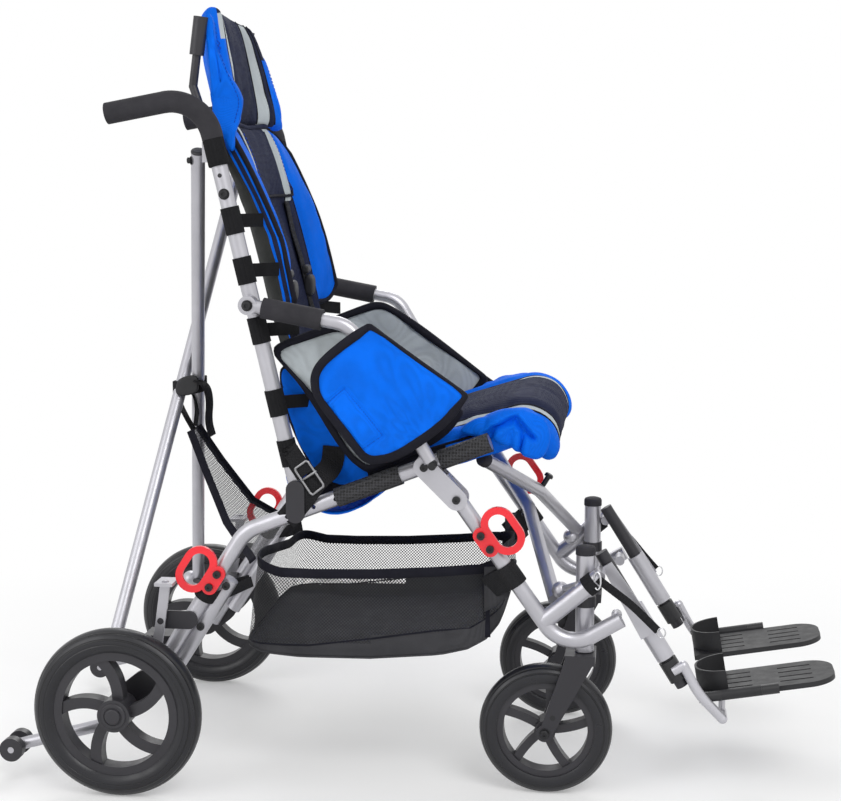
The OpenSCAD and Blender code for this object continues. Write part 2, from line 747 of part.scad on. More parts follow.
// front cross tube, bent in the middle, pivoted at its lower end on this side's caster post
front_ball_r = 13;
front_cross_shift = 16;
front_cross_lean = unit([0.518, 0, 0.856]);
front_top_x = 520;
front_top_in = 35;
front_top_z = 510;
front_cross_top = [front_top_x, side_y - front_top_in, front_top_z];
front_tail = 2;
front_cross_share = 0.9;
front_bow = [18, 0, 4];
front_bend_share = 0.5;
module front_cross(ahead) {
  shift = front_cross_lean * front_cross_shift * ahead;
  high = far_side(front_cross_top);
  bend = mix(front_pivot, high, front_bend_share) + front_bow + shift;
  low = front_pivot + shift;
  cross_pivot(front_pivot, shift.x > 0 ? 180 : 0, front_ball_r, front_pin_axis, front_pin_r, front_pin_in,
              front_pin_out) {
    rod(low - unit(bend - low) * front_tail, bend, cross_r);
    translate(bend) sphere(r = cross_r + skin);
    rod(bend, mix(front_pivot, high, front_cross_share) + shift, cross_r);
  }
}

// foot brake lever with its pedal and locking pin
lever_w = 15;
lever_top = [66, 318];
lever_low = [50, 214];
pedal_x = 28;
pedal_t = 5;
pedal_in = 26;
pedal_out = 14;
brake_pin_len = 12;
module brake_lever() difference() {
  union() {
    slab(lever_y, lever_y + brake_t) {
      polygon(bar_outline(lever_low, [brake_x, brake_z], lever_w / 2));
      polygon(bar_outline([brake_x, brake_z], lever_top, lever_w / 2));
    }
    translate([lever_top.x - pedal_x / 2, lever_y - pedal_in, lever_top.y])
      cube([pedal_x, pedal_in + pedal_out, pedal_t]);
    pin(lever_low.x, lever_low.y, lever_y, lever_y + brake_pin_len, brake_pin_r);
  }
  pin(brake_x, brake_z, lever_y - cut, lever_y + brake_t + cut, brake_pin_r + run_gap);
}

// two anti-tip rollers on one axle
module rollers() for (s = [-1, 1]) {
  y = side_y + s * (tip_r + roller_gap + roller_w / 2);
  difference() {
    pin(tip_end.x, tip_end.z, y - roller_w / 2, y + roller_w / 2, roller_r);
    pin(tip_end.x, tip_end.z, y - roller_w, y + roller_w, roller_axle_r + run_gap);
  }
}

// black hanger tube that slides in the front leg's sleeve
module footrest_tube() rod(hang_top, along_hang(hang_len), hang_r);

// silver arm under the hanger tube, with the footplate's hinge pin
plate_dir = [cos(plate_slope), 0, sin(plate_slope)];
plate_up = [-sin(plate_slope), 0, cos(plate_slope)];
hinge_out = 2;
hinge_ahead = 24;
hinge_drop = 18;
hinge_start = along_hang(hang_len) + [hinge_ahead, hinge_out, -hinge_drop];
hinge_pin_r = 4;
hinge_r = 8;
hinge_len = 120;
knuckle_start = 34;
knuckle_len = 60;
clamp_at = 209;
clamp_h = 34;
arm_wall = 4;
arm_tube_r = 7.5;
arm_tube_bend = 120;
arm_bow = 7;
arm_low_at = 36;
arm_low_drop = 34;
arm_cross_len = 36;
arm_out = 9;
rest_share = 0.75;
rest_r = 5;
rest_gap = 1.6;
function along_plate(s) = hinge_start + plate_dir * s;
module footrest_arm() {
  across = [sin(hang_slope), 0, cos(hang_slope)];
  arm_tube_y = hinge_start.y + arm_out;
  top = at_y(along_hang(clamp_at) + across * (hang_r + arm_wall + arm_wall), arm_tube_y);
  low = at_y(along_plate(arm_low_at), arm_tube_y) - [0, 0, arm_low_drop];
  line = unit(low - top);
  bend = mix(top, low, 0.5) + [line.z, 0, -line.x] * arm_bow;
  inner = low - [0, arm_cross_len, 0];
  rest = mix(low, inner, rest_share);
  difference() {
    union() {
      rod(along_hang(clamp_at - clamp_h / 2), along_hang(clamp_at + clamp_h / 2), hang_r + arm_wall);
      rod(at_y(along_hang(clamp_at), arm_tube_y), top, arm_tube_r);
      translate(top) sphere(r = arm_tube_r + skin);
      bent_tube(top, bend, low, arm_tube_bend, arm_tube_r);
      translate(low) sphere(r = arm_tube_r + skin);
      pin(low.x, low.z, inner.y, low.y, arm_tube_r);
      translate(rest) cylinder(r = rest_r, h = arm_low_drop - plate_t - rest_gap);
      rod(along_plate(0), along_plate(knuckle_start - run_gap * 2), hinge_r);
      rod(along_plate(0), along_plate(hinge_len), hinge_pin_r);
      rod(along_plate(knuckle_start + knuckle_len + run_gap * 2), along_plate(hinge_len), hinge_r);
    }
    rod(hang_top, along_hang(hang_len + clamp_h), hang_r + run_gap);
  }
}

// footplate with slots, hinge knuckle and heel loop
plate_round = 40;
slot_w = 4;
slot_share = 0.24;
slot_starts_shares = [0.16, 0.6];
heel_r = 46;
heel_t = 3;
heel_h = 34;
module footplate() {
  translate(hinge_start) rotate([0, -plate_slope, 0]) difference() {
    union() {
      translate([0, -hinge_r - seat_gap - plate_w, -plate_t]) linear_extrude(plate_t) difference() {
        union() {
          square([plate_len - plate_round, plate_w]);
          translate([plate_len - plate_round - cut, plate_round])
            square([plate_round + cut, plate_w - plate_round * 2]);
          for (y = [plate_round, plate_w - plate_round])
            translate([plate_len - plate_round, y]) circle(r = plate_round);
        }
        for (start = slot_starts_shares, i = [1 : plate_slots])
          translate([plate_len * start, i * plate_w / (plate_slots + 1) - slot_w / 2])
            square([plate_len * slot_share, slot_w]);
      }
      translate([knuckle_start, 0, 0]) rotate([0, 90, 0]) cylinder(r = hinge_r, h = knuckle_len);
      translate([knuckle_start, -hinge_r - cut, -plate_t]) cube([knuckle_len, hinge_r + cut, plate_t]);
      translate([heel_r, -hinge_r - plate_w / 2, -cut]) rotate([0, 0, 90])
        rotate_extrude(angle = 180) translate([heel_r - heel_t, 0]) square([heel_t, heel_h]);
    }
    translate([-cut, 0, 0]) rotate([0, 90, 0]) cylinder(r = hinge_pin_r + run_gap, h = hinge_len * 2);
  }
}

tail_x = -roller_back - roller_r;
tip_x = hinge_start.x + plate_len * cos(plate_slope) + plate_t * sin(plate_slope);
mid_x = (tail_x + tip_x) / 2;

// inner grey panel and outer blue flap beside the seat
panel_t = 7;
belt_t = 2;
flap_t = 11;
panel_y = side_y - tube_r - run_gap - grip_sleeve_wall - seat_gap;
flap_y = arm_y + arm_r + skin + seat_gap;
seat_w = (panel_y - panel_t - belt_t - seat_gap * 2 - seat_side_gap) * 2;
panel_x = 292;
panel_z = 436;
panel_len = 220;
panel_h = 276;
panel_shares = [[0, 0], [0, 0.84], [0.12, 0.97], [0.27, 1], [0.48, 0.92], [0.945, 0.61], [1, 0.515],
                [0.936, 0.406], [0.655, 0.333], [0.473, 0.167]];
flap_shares = [[0.018, 0.594], [0.032, 0.783], [0.173, 0.92], [0.373, 1], [0.482, 0.978], [0.986, 0.674],
               [1.01, 0.594], [0.973, 0.536], [0.673, 0.395], [0.336, 0.246], [0.245, 0.261]];
function panel_point(s) = [panel_x + panel_len * s[0], panel_z + panel_h * s[1]];
inner_panel = [for (s = panel_shares) panel_point(s)];
outer_flap = [for (s = flap_shares) panel_point(s)];
module side_panel() {
  slab(panel_y - panel_t, panel_y) polygon(inner_panel);
  slab(flap_y, flap_y + flap_t) polygon(outer_flap);
}

// seat cushion: crown, channels, drawn-in sides and a rolled front edge
seat_rear = [282, 476];
seat_front = [575, 572];
seat_roll_r = 36;
seat_roll = 84;
seat_flat_share = 0.78;
seat_rows = 22;
seat_cols = 20;
edge_share = 0.42;
channel_shares = [0.2, 0.36, 0.64, 0.8];
channel_depth_share = 0.22;
channel_width_share = 0.03;
draw_in_share = 0.025;
seat_slope = atan2(seat_front.y - seat_rear.y, seat_front.x - seat_rear.x);
edge_power = 6;
function channel(v) =
  1 - channel_depth_share * max([for (c = channel_shares) exp(-pow((v - c) / channel_width_share, 2))]);
function round_off(t) = 1 - pow(abs(2 * t - 1), edge_power);
function fullness(u, v) = edge_share + (1 - edge_share) * sqrt(round_off(u) * round_off(v));
function seat_turn(u) = seat_slope - max(0, (u - seat_flat_share) / (1 - seat_flat_share)) * seat_roll;
function seat_mid(u) = u < seat_flat_share
  ? mix(seat_rear, seat_front, u / seat_flat_share)
  : seat_front + seat_roll_r * [sin(seat_slope), -cos(seat_slope)]
    + seat_roll_r * [-sin(seat_turn(u)), cos(seat_turn(u))];
function seat_point(u, v, s) =
  let(out = [-sin(seat_turn(u)), cos(seat_turn(u))],
      p = seat_mid(u) + s * seat_t / 2 * fullness(u, v) * (s > 0 ? channel(v) : 1) * out)
  [p.x, (v - 0.5) * seat_w * (1 - draw_in_share * (1 - pow(2 * u - 1, 2))), p.y];
function grid(rows, cols, s, f) =
  [for (i = [0 : rows]) [for (j = [0 : cols]) f(i / rows, j / cols, s)]];
module seat_cushion_shape() pad(grid(seat_rows, seat_cols, 1, function(u, v, s) seat_point(u, v, s)),
                          grid(seat_rows, seat_cols, -1, function(u, v, s) seat_point(u, v, s)));

// seat sling between the side panels, under the cushion
sling_shares = [0.06, 0.34];
sling_t = 3;
module seat_sling_shape() {
  drop = [sin(seat_slope), -cos(seat_slope)];
  sling_side = panel_y - panel_t - belt_t - seat_gap * 2;
  a = mix(seat_rear, seat_front, sling_shares[0]) + drop * (seat_t / 2 + seat_gap);
  b = mix(seat_rear, seat_front, sling_shares[1]) + drop * (seat_t / 2 + seat_gap);
  slab(-sling_side, sling_side)
    polygon([a, b, b + drop * sling_t, a + drop * sling_t]);
}

// back cushion: bowed across, wings forward, upright channels
back_low_z = 552;
back_top_z = 1005;
back_ahead = 16;
wing_low = 50;
wing_top = 6;
wing_power = 2.4;
back_rows = 22;
back_cols = 20;
back_normal = [back_dir.z, 0, -back_dir.x];
function back_point(u, v, s) =
  let(p = at_height(pivot, handle_corner, mix(back_low_z, back_top_z, u)),
      w = pow(abs(2 * v - 1), wing_power) * mix(wing_low, wing_top, u))
  [p.x + back_ahead + w, (0.5 - v) * back_w, p.z]
  + s * back_t / 2 * fullness(u, v) * (s > 0 ? channel(v) : 1) * back_normal;
function back_edge_x(z) = at_height(pivot, handle_corner, z).x + back_ahead
  + mix(wing_low, wing_top, (z - back_low_z) / (back_top_z - back_low_z));
module back_cushion_shape() pad(grid(back_rows, back_cols, 1, function(u, v, s) back_point(u, v, s)),
                          grid(back_rows, back_cols, -1, function(u, v, s) back_point(u, v, s)));

// headrest: bowed pad with wings that hold the head
head_low = [124, 1006.7];
head_top = [97, 1182];
head_wing = 40;
head_rows = 16;
head_cols = 20;
head_narrow_share = 0.2;
head_normal = unit([head_top.y - head_low.y, 0, head_low.x - head_top.x]);
function head_point(u, v, s) =
  let(p = mix(head_low, head_top, u), w = pow(abs(2 * v - 1), wing_power) * head_wing * (1 - u / 2))
  [p.x + w, (0.5 - v) * head_w * (1 - head_narrow_share * pow(u, 3)), p.y]
  + s * head_t / 2 * fullness(u, v) * head_normal;
module head_cushion_shape() pad(grid(head_rows, head_cols, 1, function(u, v, s) head_point(u, v, s)),
                          grid(head_rows, head_cols, -1, function(u, v, s) head_point(u, v, s)));

// open mesh basket under the seat
basket_x = 168;
basket_z = 199;
basket_len = 405;
basket_h = 150;
basket_shares = [[0.044, 0.98], [0, 0.207], [0.03, 0.04], [0.235, 0], [0.54, 0.013], [0.768, 0.08],
                 [0.956, 0.253], [1, 0.487], [0.983, 1.073], [0.617, 0.927], [0.353, 0.893]];
hollow_shares = [[0.055, 1.3], [0.055, 0.98], [0.011, 0.21], [0.037, 0.062], [0.235, 0.027], [0.54, 0.04],
                 [0.765, 0.107], [0.946, 0.275], [0.989, 0.49], [0.972, 1.08], [0.972, 1.3]];
function basket_point(s) = [basket_x + basket_len * s[0], basket_z + basket_h * s[1]];
basket_outline = [for (s = basket_shares) basket_point(s)];
front_strap_shares = [[0.93, 0.78], [1.01, 0.86], [1.075, 0.99], [1.06, 1.1], [1.01, 1.12], [0.93, 1.03]];
rear_strap_shares = [[-0.11, 0.66], [0.06, 0.7], [0.06, 0.86], [-0.06, 0.8], [-0.13, 0.74]];
front_end_shares = [1.0, 1.06];
rear_end_shares = [-0.116, -0.053];
front_strap = [for (s = front_strap_shares) basket_point(s)];
rear_strap = [for (s = rear_strap_shares) basket_point(s)];
module basket_straps() {
  slab(basket_w / 2 - basket_t, basket_w / 2) polygon(front_strap);
  slab(basket_w / 2 - basket_t, basket_w / 2) polygon(rear_strap);
  intersection() {
    slab(basket_w / 2 - basket_t, face_in) polygon(front_strap);
    slab(basket_w / 2 - basket_t, face_in) translate(basket_point([front_end_shares[0], 0]))
      square([basket_len * (front_end_shares[1] - front_end_shares[0]), basket_h * 2]);
  }
  intersection() {
    slab(basket_w / 2 - basket_t, face_in - brace_inset) polygon(rear_strap);
    slab(basket_w / 2 - basket_t, face_in - brace_inset) translate(basket_point([rear_end_shares[0], 0]))
      square([basket_len * (rear_end_shares[1] - rear_end_shares[0]), basket_h]);
  }
}
module basket_shape() {
  basket_tray();
  for (s = [0, 1]) mirror([0, s, 0]) basket_straps();
}
module basket_tray() difference() {
  slab(-basket_w / 2, basket_w / 2) polygon(basket_outline);
  slab(-basket_w / 2 + basket_t, basket_w / 2 - basket_t)
    polygon([for (s = hollow_shares) basket_point(s)]);
}

// shoulder straps with buckles, lying on the back cushion
strap_v_shares = [0.3, 0.7];
shoulder_half_share = 0.05;
shoulder_t = 2.5;
shoulder_range = [0.32, 0.9];
shoulder_rows = 12;
shoulder_cols = 2;
function shoulder_point(u, v, s, middle) =
  back_point(mix(shoulder_range[0], shoulder_range[1], u), middle + (v - 0.5) * 2 * shoulder_half_share, 1)
  + back_normal * (seat_gap + (s > 0 ? shoulder_t : 0));
module harness_shape() for (m = strap_v_shares)
  pad(grid(shoulder_rows, shoulder_cols, 1, function(u, v, s) shoulder_point(u, v, s, m)),
      grid(shoulder_rows, shoulder_cols, -1, function(u, v, s) shoulder_point(u, v, s, m)));

// stubs of the lap belt, lying on the inner panels
belt_w = 38;
belt_low = [300, 462];
belt_high = [316, 520];
module lap_belt_shape() for (s = [0, 1]) mirror([0, s, 0])
  slab(panel_y - panel_t - seat_gap - belt_t, panel_y - panel_t - seat_gap)
    polygon(bar_outline(belt_low, belt_high, belt_w / 2));

silver = [0.66, 0.66, 0.69];
black = [0.1, 0.1, 0.11];
dark = [0.2, 0.2, 0.22];
red = [0.9, 0.08, 0.1];
blue = [0.02, 0.4, 0.9];
navy = [0.12, 0.12, 0.2];
grey = [0.55, 0.58, 0.6];

module right_side_rail() color(silver) right() side_rail();
module left_side_rail() color(silver) left() side_rail();
module right_front_leg() color(silver) right() front_leg();
module left_front_leg() color(silver) left() front_leg();
module right_leg_bracket() color(silver) right() leg_bracket();
module left_leg_bracket() color(silver) left() leg_bracket();
module right_tie_downs() color(red) right() tie_downs();
module left_tie_downs() color(red) left() tie_downs();
module right_frame_bolts() color(black) right() frame_bolts();
module left_frame_bolts() color(black) left() frame_bolts();
module right_rail_sleeves() color(dark) right() rail_sleeves();
module left_rail_sleeves() color(dark) left() rail_sleeves();
module right_frame_brackets() color(black) right() frame_brackets();
module left_frame_brackets() color(black) left() frame_brackets();
module right_back_upright() color(silver) right() back_upright(1);
module left_back_upright() color(silver) left() back_upright(-1);
module right_push_grip() color(dark) right() push_grip();
module left_push_grip() color(dark) left() push_grip();
module right_upright_straps() color(black) right() upright_straps();
module left_upright_straps() color(black) left() upright_straps();
module right_head_post() color(black) right() head_post();
module left_head_post() color(black) left() head_post();
module right_armrest_tube() color(silver) right() armrest_tube();
module left_armrest_tube() color(silver) left() armrest_tube();
module right_armrest_pad() color(black) right() armrest_pad();
module left_armrest_pad() color(black) left() armrest_pad();
module right_rear_rim() color(dark) right() rear_rim();
module left_rear_rim() color(dark) left() rear_rim();
module right_rear_tyre() color(black) right() rear_tyre();
module left_rear_tyre() color(black) left() rear_tyre();
module right_caster_fork() color(black) right() caster_fork();
module left_caster_fork() color(black) left() caster_fork();
module right_caster_rim() color(dark) right() caster_rim();
module left_caster_rim() color(dark) left() caster_rim();
module right_caster_tyre() color(black) right() caster_tyre();
module left_caster_tyre() color(black) left() caster_tyre();
module right_rear_cross() color(silver) right() rear_cross(-1);
module left_rear_cross() color(silver) left() rear_cross(1);
module right_front_cross() color(silver) right() front_cross(-1);
module left_front_cross() color(silver) left() front_cross(1);
module right_brake_lever() color(dark) right() brake_lever();
module left_brake_lever() color(dark) left() brake_lever();
module right_rollers() color(black) right() rollers();
module left_rollers() color(black) left() rollers();
module right_footrest_tube() color(black) right() footrest_tube();
module left_footrest_tube() color(black) left() footrest_tube();
module right_footrest_arm() color(silver) right() footrest_arm();
module left_footrest_arm() color(silver) left() footrest_arm();
module right_footplate() color(black) right() footplate();
module left_footplate() color(black) left() footplate();
module right_side_panel() color(blue) right() side_panel();
module left_side_panel() color(blue) left() side_panel();
module seat_cushion() color(blue) left() seat_cushion_shape();
module back_cushion() color(navy) left() back_cushion_shape();
module head_cushion() color(blue) left() head_cushion_shape();
module basket() color(black) left() basket_shape();
module seat_sling() color(blue) left() seat_sling_shape();
module harness() color(black) left() harness_shape();
module lap_belt() color(black) left() lap_belt_shape();

right_side_rail();
left_side_rail();
right_front_leg();
left_front_leg();
right_leg_bracket();
left_leg_bracket();
right_tie_downs();
left_tie_downs();
right_frame_bolts();
left_frame_bolts();
right_rail_sleeves();
left_rail_sleeves();
right_frame_brackets();
left_frame_brackets();
right_back_upright();
left_back_upright();
right_push_grip();
left_push_grip();
right_upright_straps();
left_upright_straps();
right_head_post();
left_head_post();
right_armrest_tube();
left_armrest_tube();
right_armrest_pad();
left_armrest_pad();
right_rear_rim();
left_rear_rim();
right_rear_tyre();
left_rear_tyre();
right_caster_fork();
left_caster_fork();
right_caster_rim();
left_caster_rim();
right_caster_tyre();
left_caster_tyre();
right_rear_cross();
left_rear_cross();
right_front_cross();
left_front_cross();
right_brake_lever();
left_brake_lever();
right_rollers();
left_rollers();
right_footrest_tube();
left_footrest_tube();
right_footrest_arm();
left_footrest_arm();
right_footplate();
left_footplate();
right_side_panel();
left_side_panel();
seat_cushion();
back_cushion();
head_cushion();
seat_sling();
basket();
harness();
lap_belt();
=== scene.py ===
import bpy
import bmesh
import json
import math
import numpy as np
from mathutils import Vector, Matrix, noise


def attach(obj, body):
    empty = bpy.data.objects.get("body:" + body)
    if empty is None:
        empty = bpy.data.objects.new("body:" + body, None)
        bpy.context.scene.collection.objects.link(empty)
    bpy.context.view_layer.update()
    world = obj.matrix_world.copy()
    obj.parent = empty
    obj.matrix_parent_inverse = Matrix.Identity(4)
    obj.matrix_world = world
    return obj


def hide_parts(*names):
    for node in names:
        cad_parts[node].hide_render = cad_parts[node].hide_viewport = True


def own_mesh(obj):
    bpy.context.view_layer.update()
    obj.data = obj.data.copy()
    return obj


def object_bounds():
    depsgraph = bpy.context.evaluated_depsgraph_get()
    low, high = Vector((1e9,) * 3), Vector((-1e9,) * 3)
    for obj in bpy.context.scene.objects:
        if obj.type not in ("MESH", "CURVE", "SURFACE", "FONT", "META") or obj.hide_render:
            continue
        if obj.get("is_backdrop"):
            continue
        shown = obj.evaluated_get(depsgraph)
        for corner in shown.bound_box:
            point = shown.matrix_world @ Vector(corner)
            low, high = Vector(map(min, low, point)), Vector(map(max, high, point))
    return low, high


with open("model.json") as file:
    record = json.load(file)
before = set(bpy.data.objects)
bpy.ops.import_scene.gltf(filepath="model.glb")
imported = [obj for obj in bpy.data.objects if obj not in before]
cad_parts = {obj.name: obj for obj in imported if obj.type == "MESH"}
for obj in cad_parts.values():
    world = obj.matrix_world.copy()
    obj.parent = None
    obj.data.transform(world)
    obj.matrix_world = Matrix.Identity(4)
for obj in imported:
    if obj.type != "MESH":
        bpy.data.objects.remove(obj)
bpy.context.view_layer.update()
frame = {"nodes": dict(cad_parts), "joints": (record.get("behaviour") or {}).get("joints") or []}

# Looks of the special needs buggy: materials for the CAD nodes, sewn and woven pieces in place of the plain
# solids, small fittings, stage, lamps and the photograph's camera. Lengths are millimetres from the rear axle,
# with the ground at z = 0 and the right side (y < 0) near the camera. P() and piece() turn them into metres.
nodes = frame["nodes"]
axle = [j for j in frame["joints"] if j["name"] == "right_rear_wheel_spin"][0]["pos_m"]
MID = axle[0] * -1000.0
SIDES = {"right": -1, "left": 1}
scene = bpy.context.scene

# places on the frame
SIDE_Y = 215
WHEEL_R, CASTER_R, CASTER_X = 130, 101, 640
POST_X, POST_Y = 697, 182
PIVOT, CORNER = np.array([266.0, 468.0]), np.array([131.0, 1049.0])


# x of the back uprights' axis at a height
def upright_x(z):
    return PIVOT[0] + (CORNER[0] - PIVOT[0]) * (z - PIVOT[1]) / (CORNER[1] - PIVOT[1])


# millimetres from the rear axle, to the row frame in metres
def P(x, y, z):
    return ((x - MID) / 1000, y / 1000, z / 1000)


# points of a finished piece, back in millimetres
def points_mm(o):
    return np.array([v.co for v in o.data.vertices]) * 1000 + (MID, 0, 0)


def lerp(a, b, t):
    return a + (b - a) * t


def clamp(t):
    return min(max(t, 0.0), 1.0)


def ease(t):
    t = clamp(t)
    return t * t * (3 - 2 * t)


# how far x lies past a start, counted in spans
def past(x, start, span):
    return max(0.0, (x - start) / span)


def unit(v):
    v = np.array(v, float)
    return v / max(np.linalg.norm(v), 1e-9)


BACK_DIR = unit(CORNER - PIVOT)


def turn(n):
    return np.linspace(0, 2 * math.pi, n, False)


# points at angles round a centre, in the plane of u and w
def circle(centre, r, u, w, angles):
    return [centre + r * (math.cos(a) * u + math.sin(a) * w) for a in angles]


# way covered at each point of a path
def run(p):
    return np.r_[0, np.cumsum(np.linalg.norm(np.diff(p, axis=0), axis=1))]


# points on the sides of a closed polygon, at the same shares of each side
def on_sides(corners, shares):
    pairs = zip(corners, corners[1:] + corners[:1])
    return [(lerp(a[0], b[0], t), lerp(a[1], b[1], t)) for a, b in pairs for t in shares]


# height line through (x, z) points
def line(*pts):
    xs, zs = zip(*pts)
    return lambda x: float(np.interp(x, xs, zs))


def put(tree, socket, value):
    if hasattr(value, "links"):
        tree.links.new(value, socket)
    else:
        socket.default_value = value


# new node in a tree, with values or links for its sockets
def add(tree, kind, sockets, **k):
    n = tree.nodes.new(kind)
    for a, v in k.items():
        setattr(n, a, v)
    for name, v in sockets.items():
        put(tree, n.inputs[name], v)
    return n


# materials
class Nodes:
    def __init__(self, name):
        self.m = bpy.data.materials.new(name)
        self.m.use_nodes = True
        self.t = self.m.node_tree
        self.b = self.t.nodes["Principled BSDF"]
        self.co = self.add("ShaderNodeTexCoord", {}).outputs["Object"]

    def add(self, kind, sockets, **k):
        return add(self.t, kind, sockets, **k)

    def look(self, name, value):
        put(self.t, self.b.inputs[name], value)

    # roughness that wanders between two values
    def rough(self, scale, low, high, detail=3.0):
        self.look("Roughness", self.span(self.noise(scale, detail), 0.3, 0.7, low, high))

    def math(self, op, a, b=0.0):
        return self.add("ShaderNodeMath", {0: a, 1: b}, operation=op).outputs[0]

    def hypot(self, a, b):
        return self.math("SQRT", self.math("ADD", self.math("MULTIPLY", a, a), self.math("MULTIPLY", b, b)))

    def xyz(self, vector=None):
        return self.add("ShaderNodeSeparateXYZ", {0: self.co if vector is None else vector}).outputs

    def noise(self, scale, detail=3.0, rough=0.55):
        sockets = {"Vector": self.co, "Scale": scale, "Detail": detail, "Roughness": rough}
        return self.add("ShaderNodeTexNoise", sockets).outputs["Fac"]

    def span(self, v, lo, hi, a=0.0, b=1.0):
        sockets = {"Value": v, "From Min": lo, "From Max": hi, "To Min": a, "To Max": b}
        return self.add("ShaderNodeMapRange", sockets).outputs["Result"]

    def ramp(self, fac, a, b, lo=0.3, hi=0.7):
        a, b = ((*c, 1.0) if isinstance(c, tuple) else c for c in (a, b))
        sockets = {"Factor": self.span(fac, lo, hi), "A": a, "B": b}
        return self.add("ShaderNodeMix", sockets, data_type="RGBA").outputs["Result"]

    # crossed waves along all three axes, so that every face of a piece shows threads
    def weave(self, period):
        sockets = {"Vector": self.co, "Scale": 2 * math.pi / (20 * period)}
        x, y, z = (self.add("ShaderNodeTexWave", sockets, bands_direction=a).outputs["Fac"] for a in "XYZ")
        two = self.math("ADD", self.math("MULTIPLY", x, y), self.math("MULTIPLY", y, z))
        return self.math("ADD", two, self.math("MULTIPLY", x, z))

    def bump(self, *layers):
        last = {}
        for height, strength, dist in layers:
            n = self.add("ShaderNodeBump", {"Strength": strength, "Distance": dist, "Height": height, **last})
            last = {"Normal": n.outputs["Normal"]}
        self.look("Normal", last["Normal"])


def shade(c, k):
    return tuple(min(1.0, x * k) for x in c)


def metal_mat(name, color, metallic, rough, coat=0.0):
    n = Nodes(name)
    n.look("Base Color", n.ramp(n.noise(9.0, 4.0), shade(color, 0.9), shade(color, 1.08)))
    n.look("Metallic", metallic)
    n.rough(35.0, rough - 0.06, rough + 0.08, 5.0)
    n.look("Coat Weight", coat)
    n.bump((n.noise(900.0, 2.0), 0.12, 0.0004), (n.noise(14.0), 0.05, 0.002))
    return n.m


def cloth_mat(name, color, period=0.0016, rough=0.72, folds=0.25, depth=0.35, shine=0.2):
    n = Nodes(name)
    weave = n.weave(period)
    base = n.ramp(n.noise(11.0, 5.0), shade(color, 0.84), shade(color, 1.1))
    n.look("Base Color", n.ramp(weave, base, shade(color, 0.72), 0.9, 2.2))
    n.rough(50.0, rough - 0.08, rough + 0.08)
    n.look("Specular IOR Level", shine)
    n.bump((weave, depth, 0.0006), (n.noise(28.0, 4.0, 0.6), folds, 0.004), (n.noise(9.0, 2.0), folds * 0.7, 0.012))
    return n.m


def soft_plastic(name, color, rough, pores, depth):
    n = Nodes(name)
    n.look("Base Color", n.ramp(n.noise(16.0, 5.0), shade(color, 0.88), shade(color, 1.12)))
    n.rough(60.0, rough - 0.07, rough + 0.07)
    n.look("Specular IOR Level", 0.4)
    n.bump((n.noise(pores, 2.0), depth, 0.0005), (n.noise(22.0), 0.08, 0.002))
    return n.m


# rubber with grooves round the wheel's axis at x and a radius above the ground; they begin at start. The grooves carry
# painted shade, coloured darker than the rubber, and all the rubber inside start is coloured as dark
def tyre_mat(name, color, x, radius, pitch, start):
    n = Nodes(name)
    px, _, pz = n.xyz()
    r = n.hypot(n.math("SUBTRACT", px, x), n.math("SUBTRACT", pz, radius))
    ring = n.span(n.math("SINE", n.math("MULTIPLY", r, 2 * math.pi / pitch)), -0.9, -0.4)
    outer = n.span(r, start, start + 0.002)
    groove = n.math("MAXIMUM", ring, n.math("SUBTRACT", 1.0, outer))
    base = n.ramp(n.noise(18.0, 5.0), shade(color, 0.85), shade(color, 1.15))
    # painted shade: the colour drops to 0.45 of the rubber in the grooves, and inside start too
    n.look("Base Color", n.ramp(groove, shade(color, 0.45), base, 0.0, 1.0))
    n.rough(40.0, 0.26, 0.44)
    n.look("Specular IOR Level", 0.45)
    n.bump((groove, 0.8, 0.0015), (n.noise(420.0, 2.0), 0.18, 0.0005), (n.noise(30.0), 0.08, 0.002))
    return n.m


# black net, open where the crossed waves pass hole; it is laid out on the piece's own UV in metres
def net_mat(name, hole):
    n = Nodes(name)
    color, period = (0.012, 0.012, 0.014), 0.0105
    x, y, _ = n.xyz(n.add("ShaderNodeUVMap", {}, uv_map="UVMap").outputs[0])
    a, b = (n.math("SINE", n.math("MULTIPLY", n.math(op, x, y), 2 * math.pi / period)) for op in ("ADD", "SUBTRACT"))
    h = n.math("ABSOLUTE", n.math("MULTIPLY", a, b))
    n.look("Base Color", n.ramp(n.noise(40.0), shade(color, 0.7), shade(color, 1.4)))
    n.look("Roughness", 0.7)
    n.look("Alpha", n.math("SUBTRACT", 1.0, n.math("GREATER_THAN", h, hole)))
    n.bump((h, 0.4, 0.001), (n.noise(20.0), 0.2, 0.003))
    return n.m


def dotted_mat(name, color):
    n = Nodes(name)
    sockets = {"Vector": n.co, "Scale": 210.0, "Randomness": 0.12}
    d = n.add("ShaderNodeTexVoronoi", sockets).outputs["Distance"]
    n.look("Base Color", n.ramp(d, shade(color, 0.25), shade(color, 1.5), 0.25, 0.5))
    n.rough(60.0, 0.5, 0.75)
    n.bump((n.span(d, 0.2, 0.5), 0.8, 0.002), (n.noise(500.0), 0.15, 0.0005))
    return n.m


# 1 inside a rod of a footrest: its axis starts at (x, z), y off the middle plane, and rises by slope degrees
def rod_mask(n, x, y, z, slope, r, middle, half):
    px, py, pz = n.xyz()
    dx = n.math("SUBTRACT", px, (x - MID) / 1000)
    dy = n.math("SUBTRACT", n.math("ABSOLUTE", py), y / 1000)
    dz = n.math("SUBTRACT", pz, z / 1000)
    c, s = math.cos(math.radians(slope)), math.sin(math.radians(slope))
    along = n.math("ADD", n.math("MULTIPLY", dx, c), n.math("MULTIPLY", dz, s))
    side = n.math("SUBTRACT", n.math("MULTIPLY", dz, c), n.math("MULTIPLY", dx, s))
    off = n.math("ABSOLUTE", n.math("SUBTRACT", along, middle / 1000))
    return n.math("MULTIPLY", n.math("LESS_THAN", n.hypot(side, dy), r / 1000), n.math("LESS_THAN", off, half / 1000))


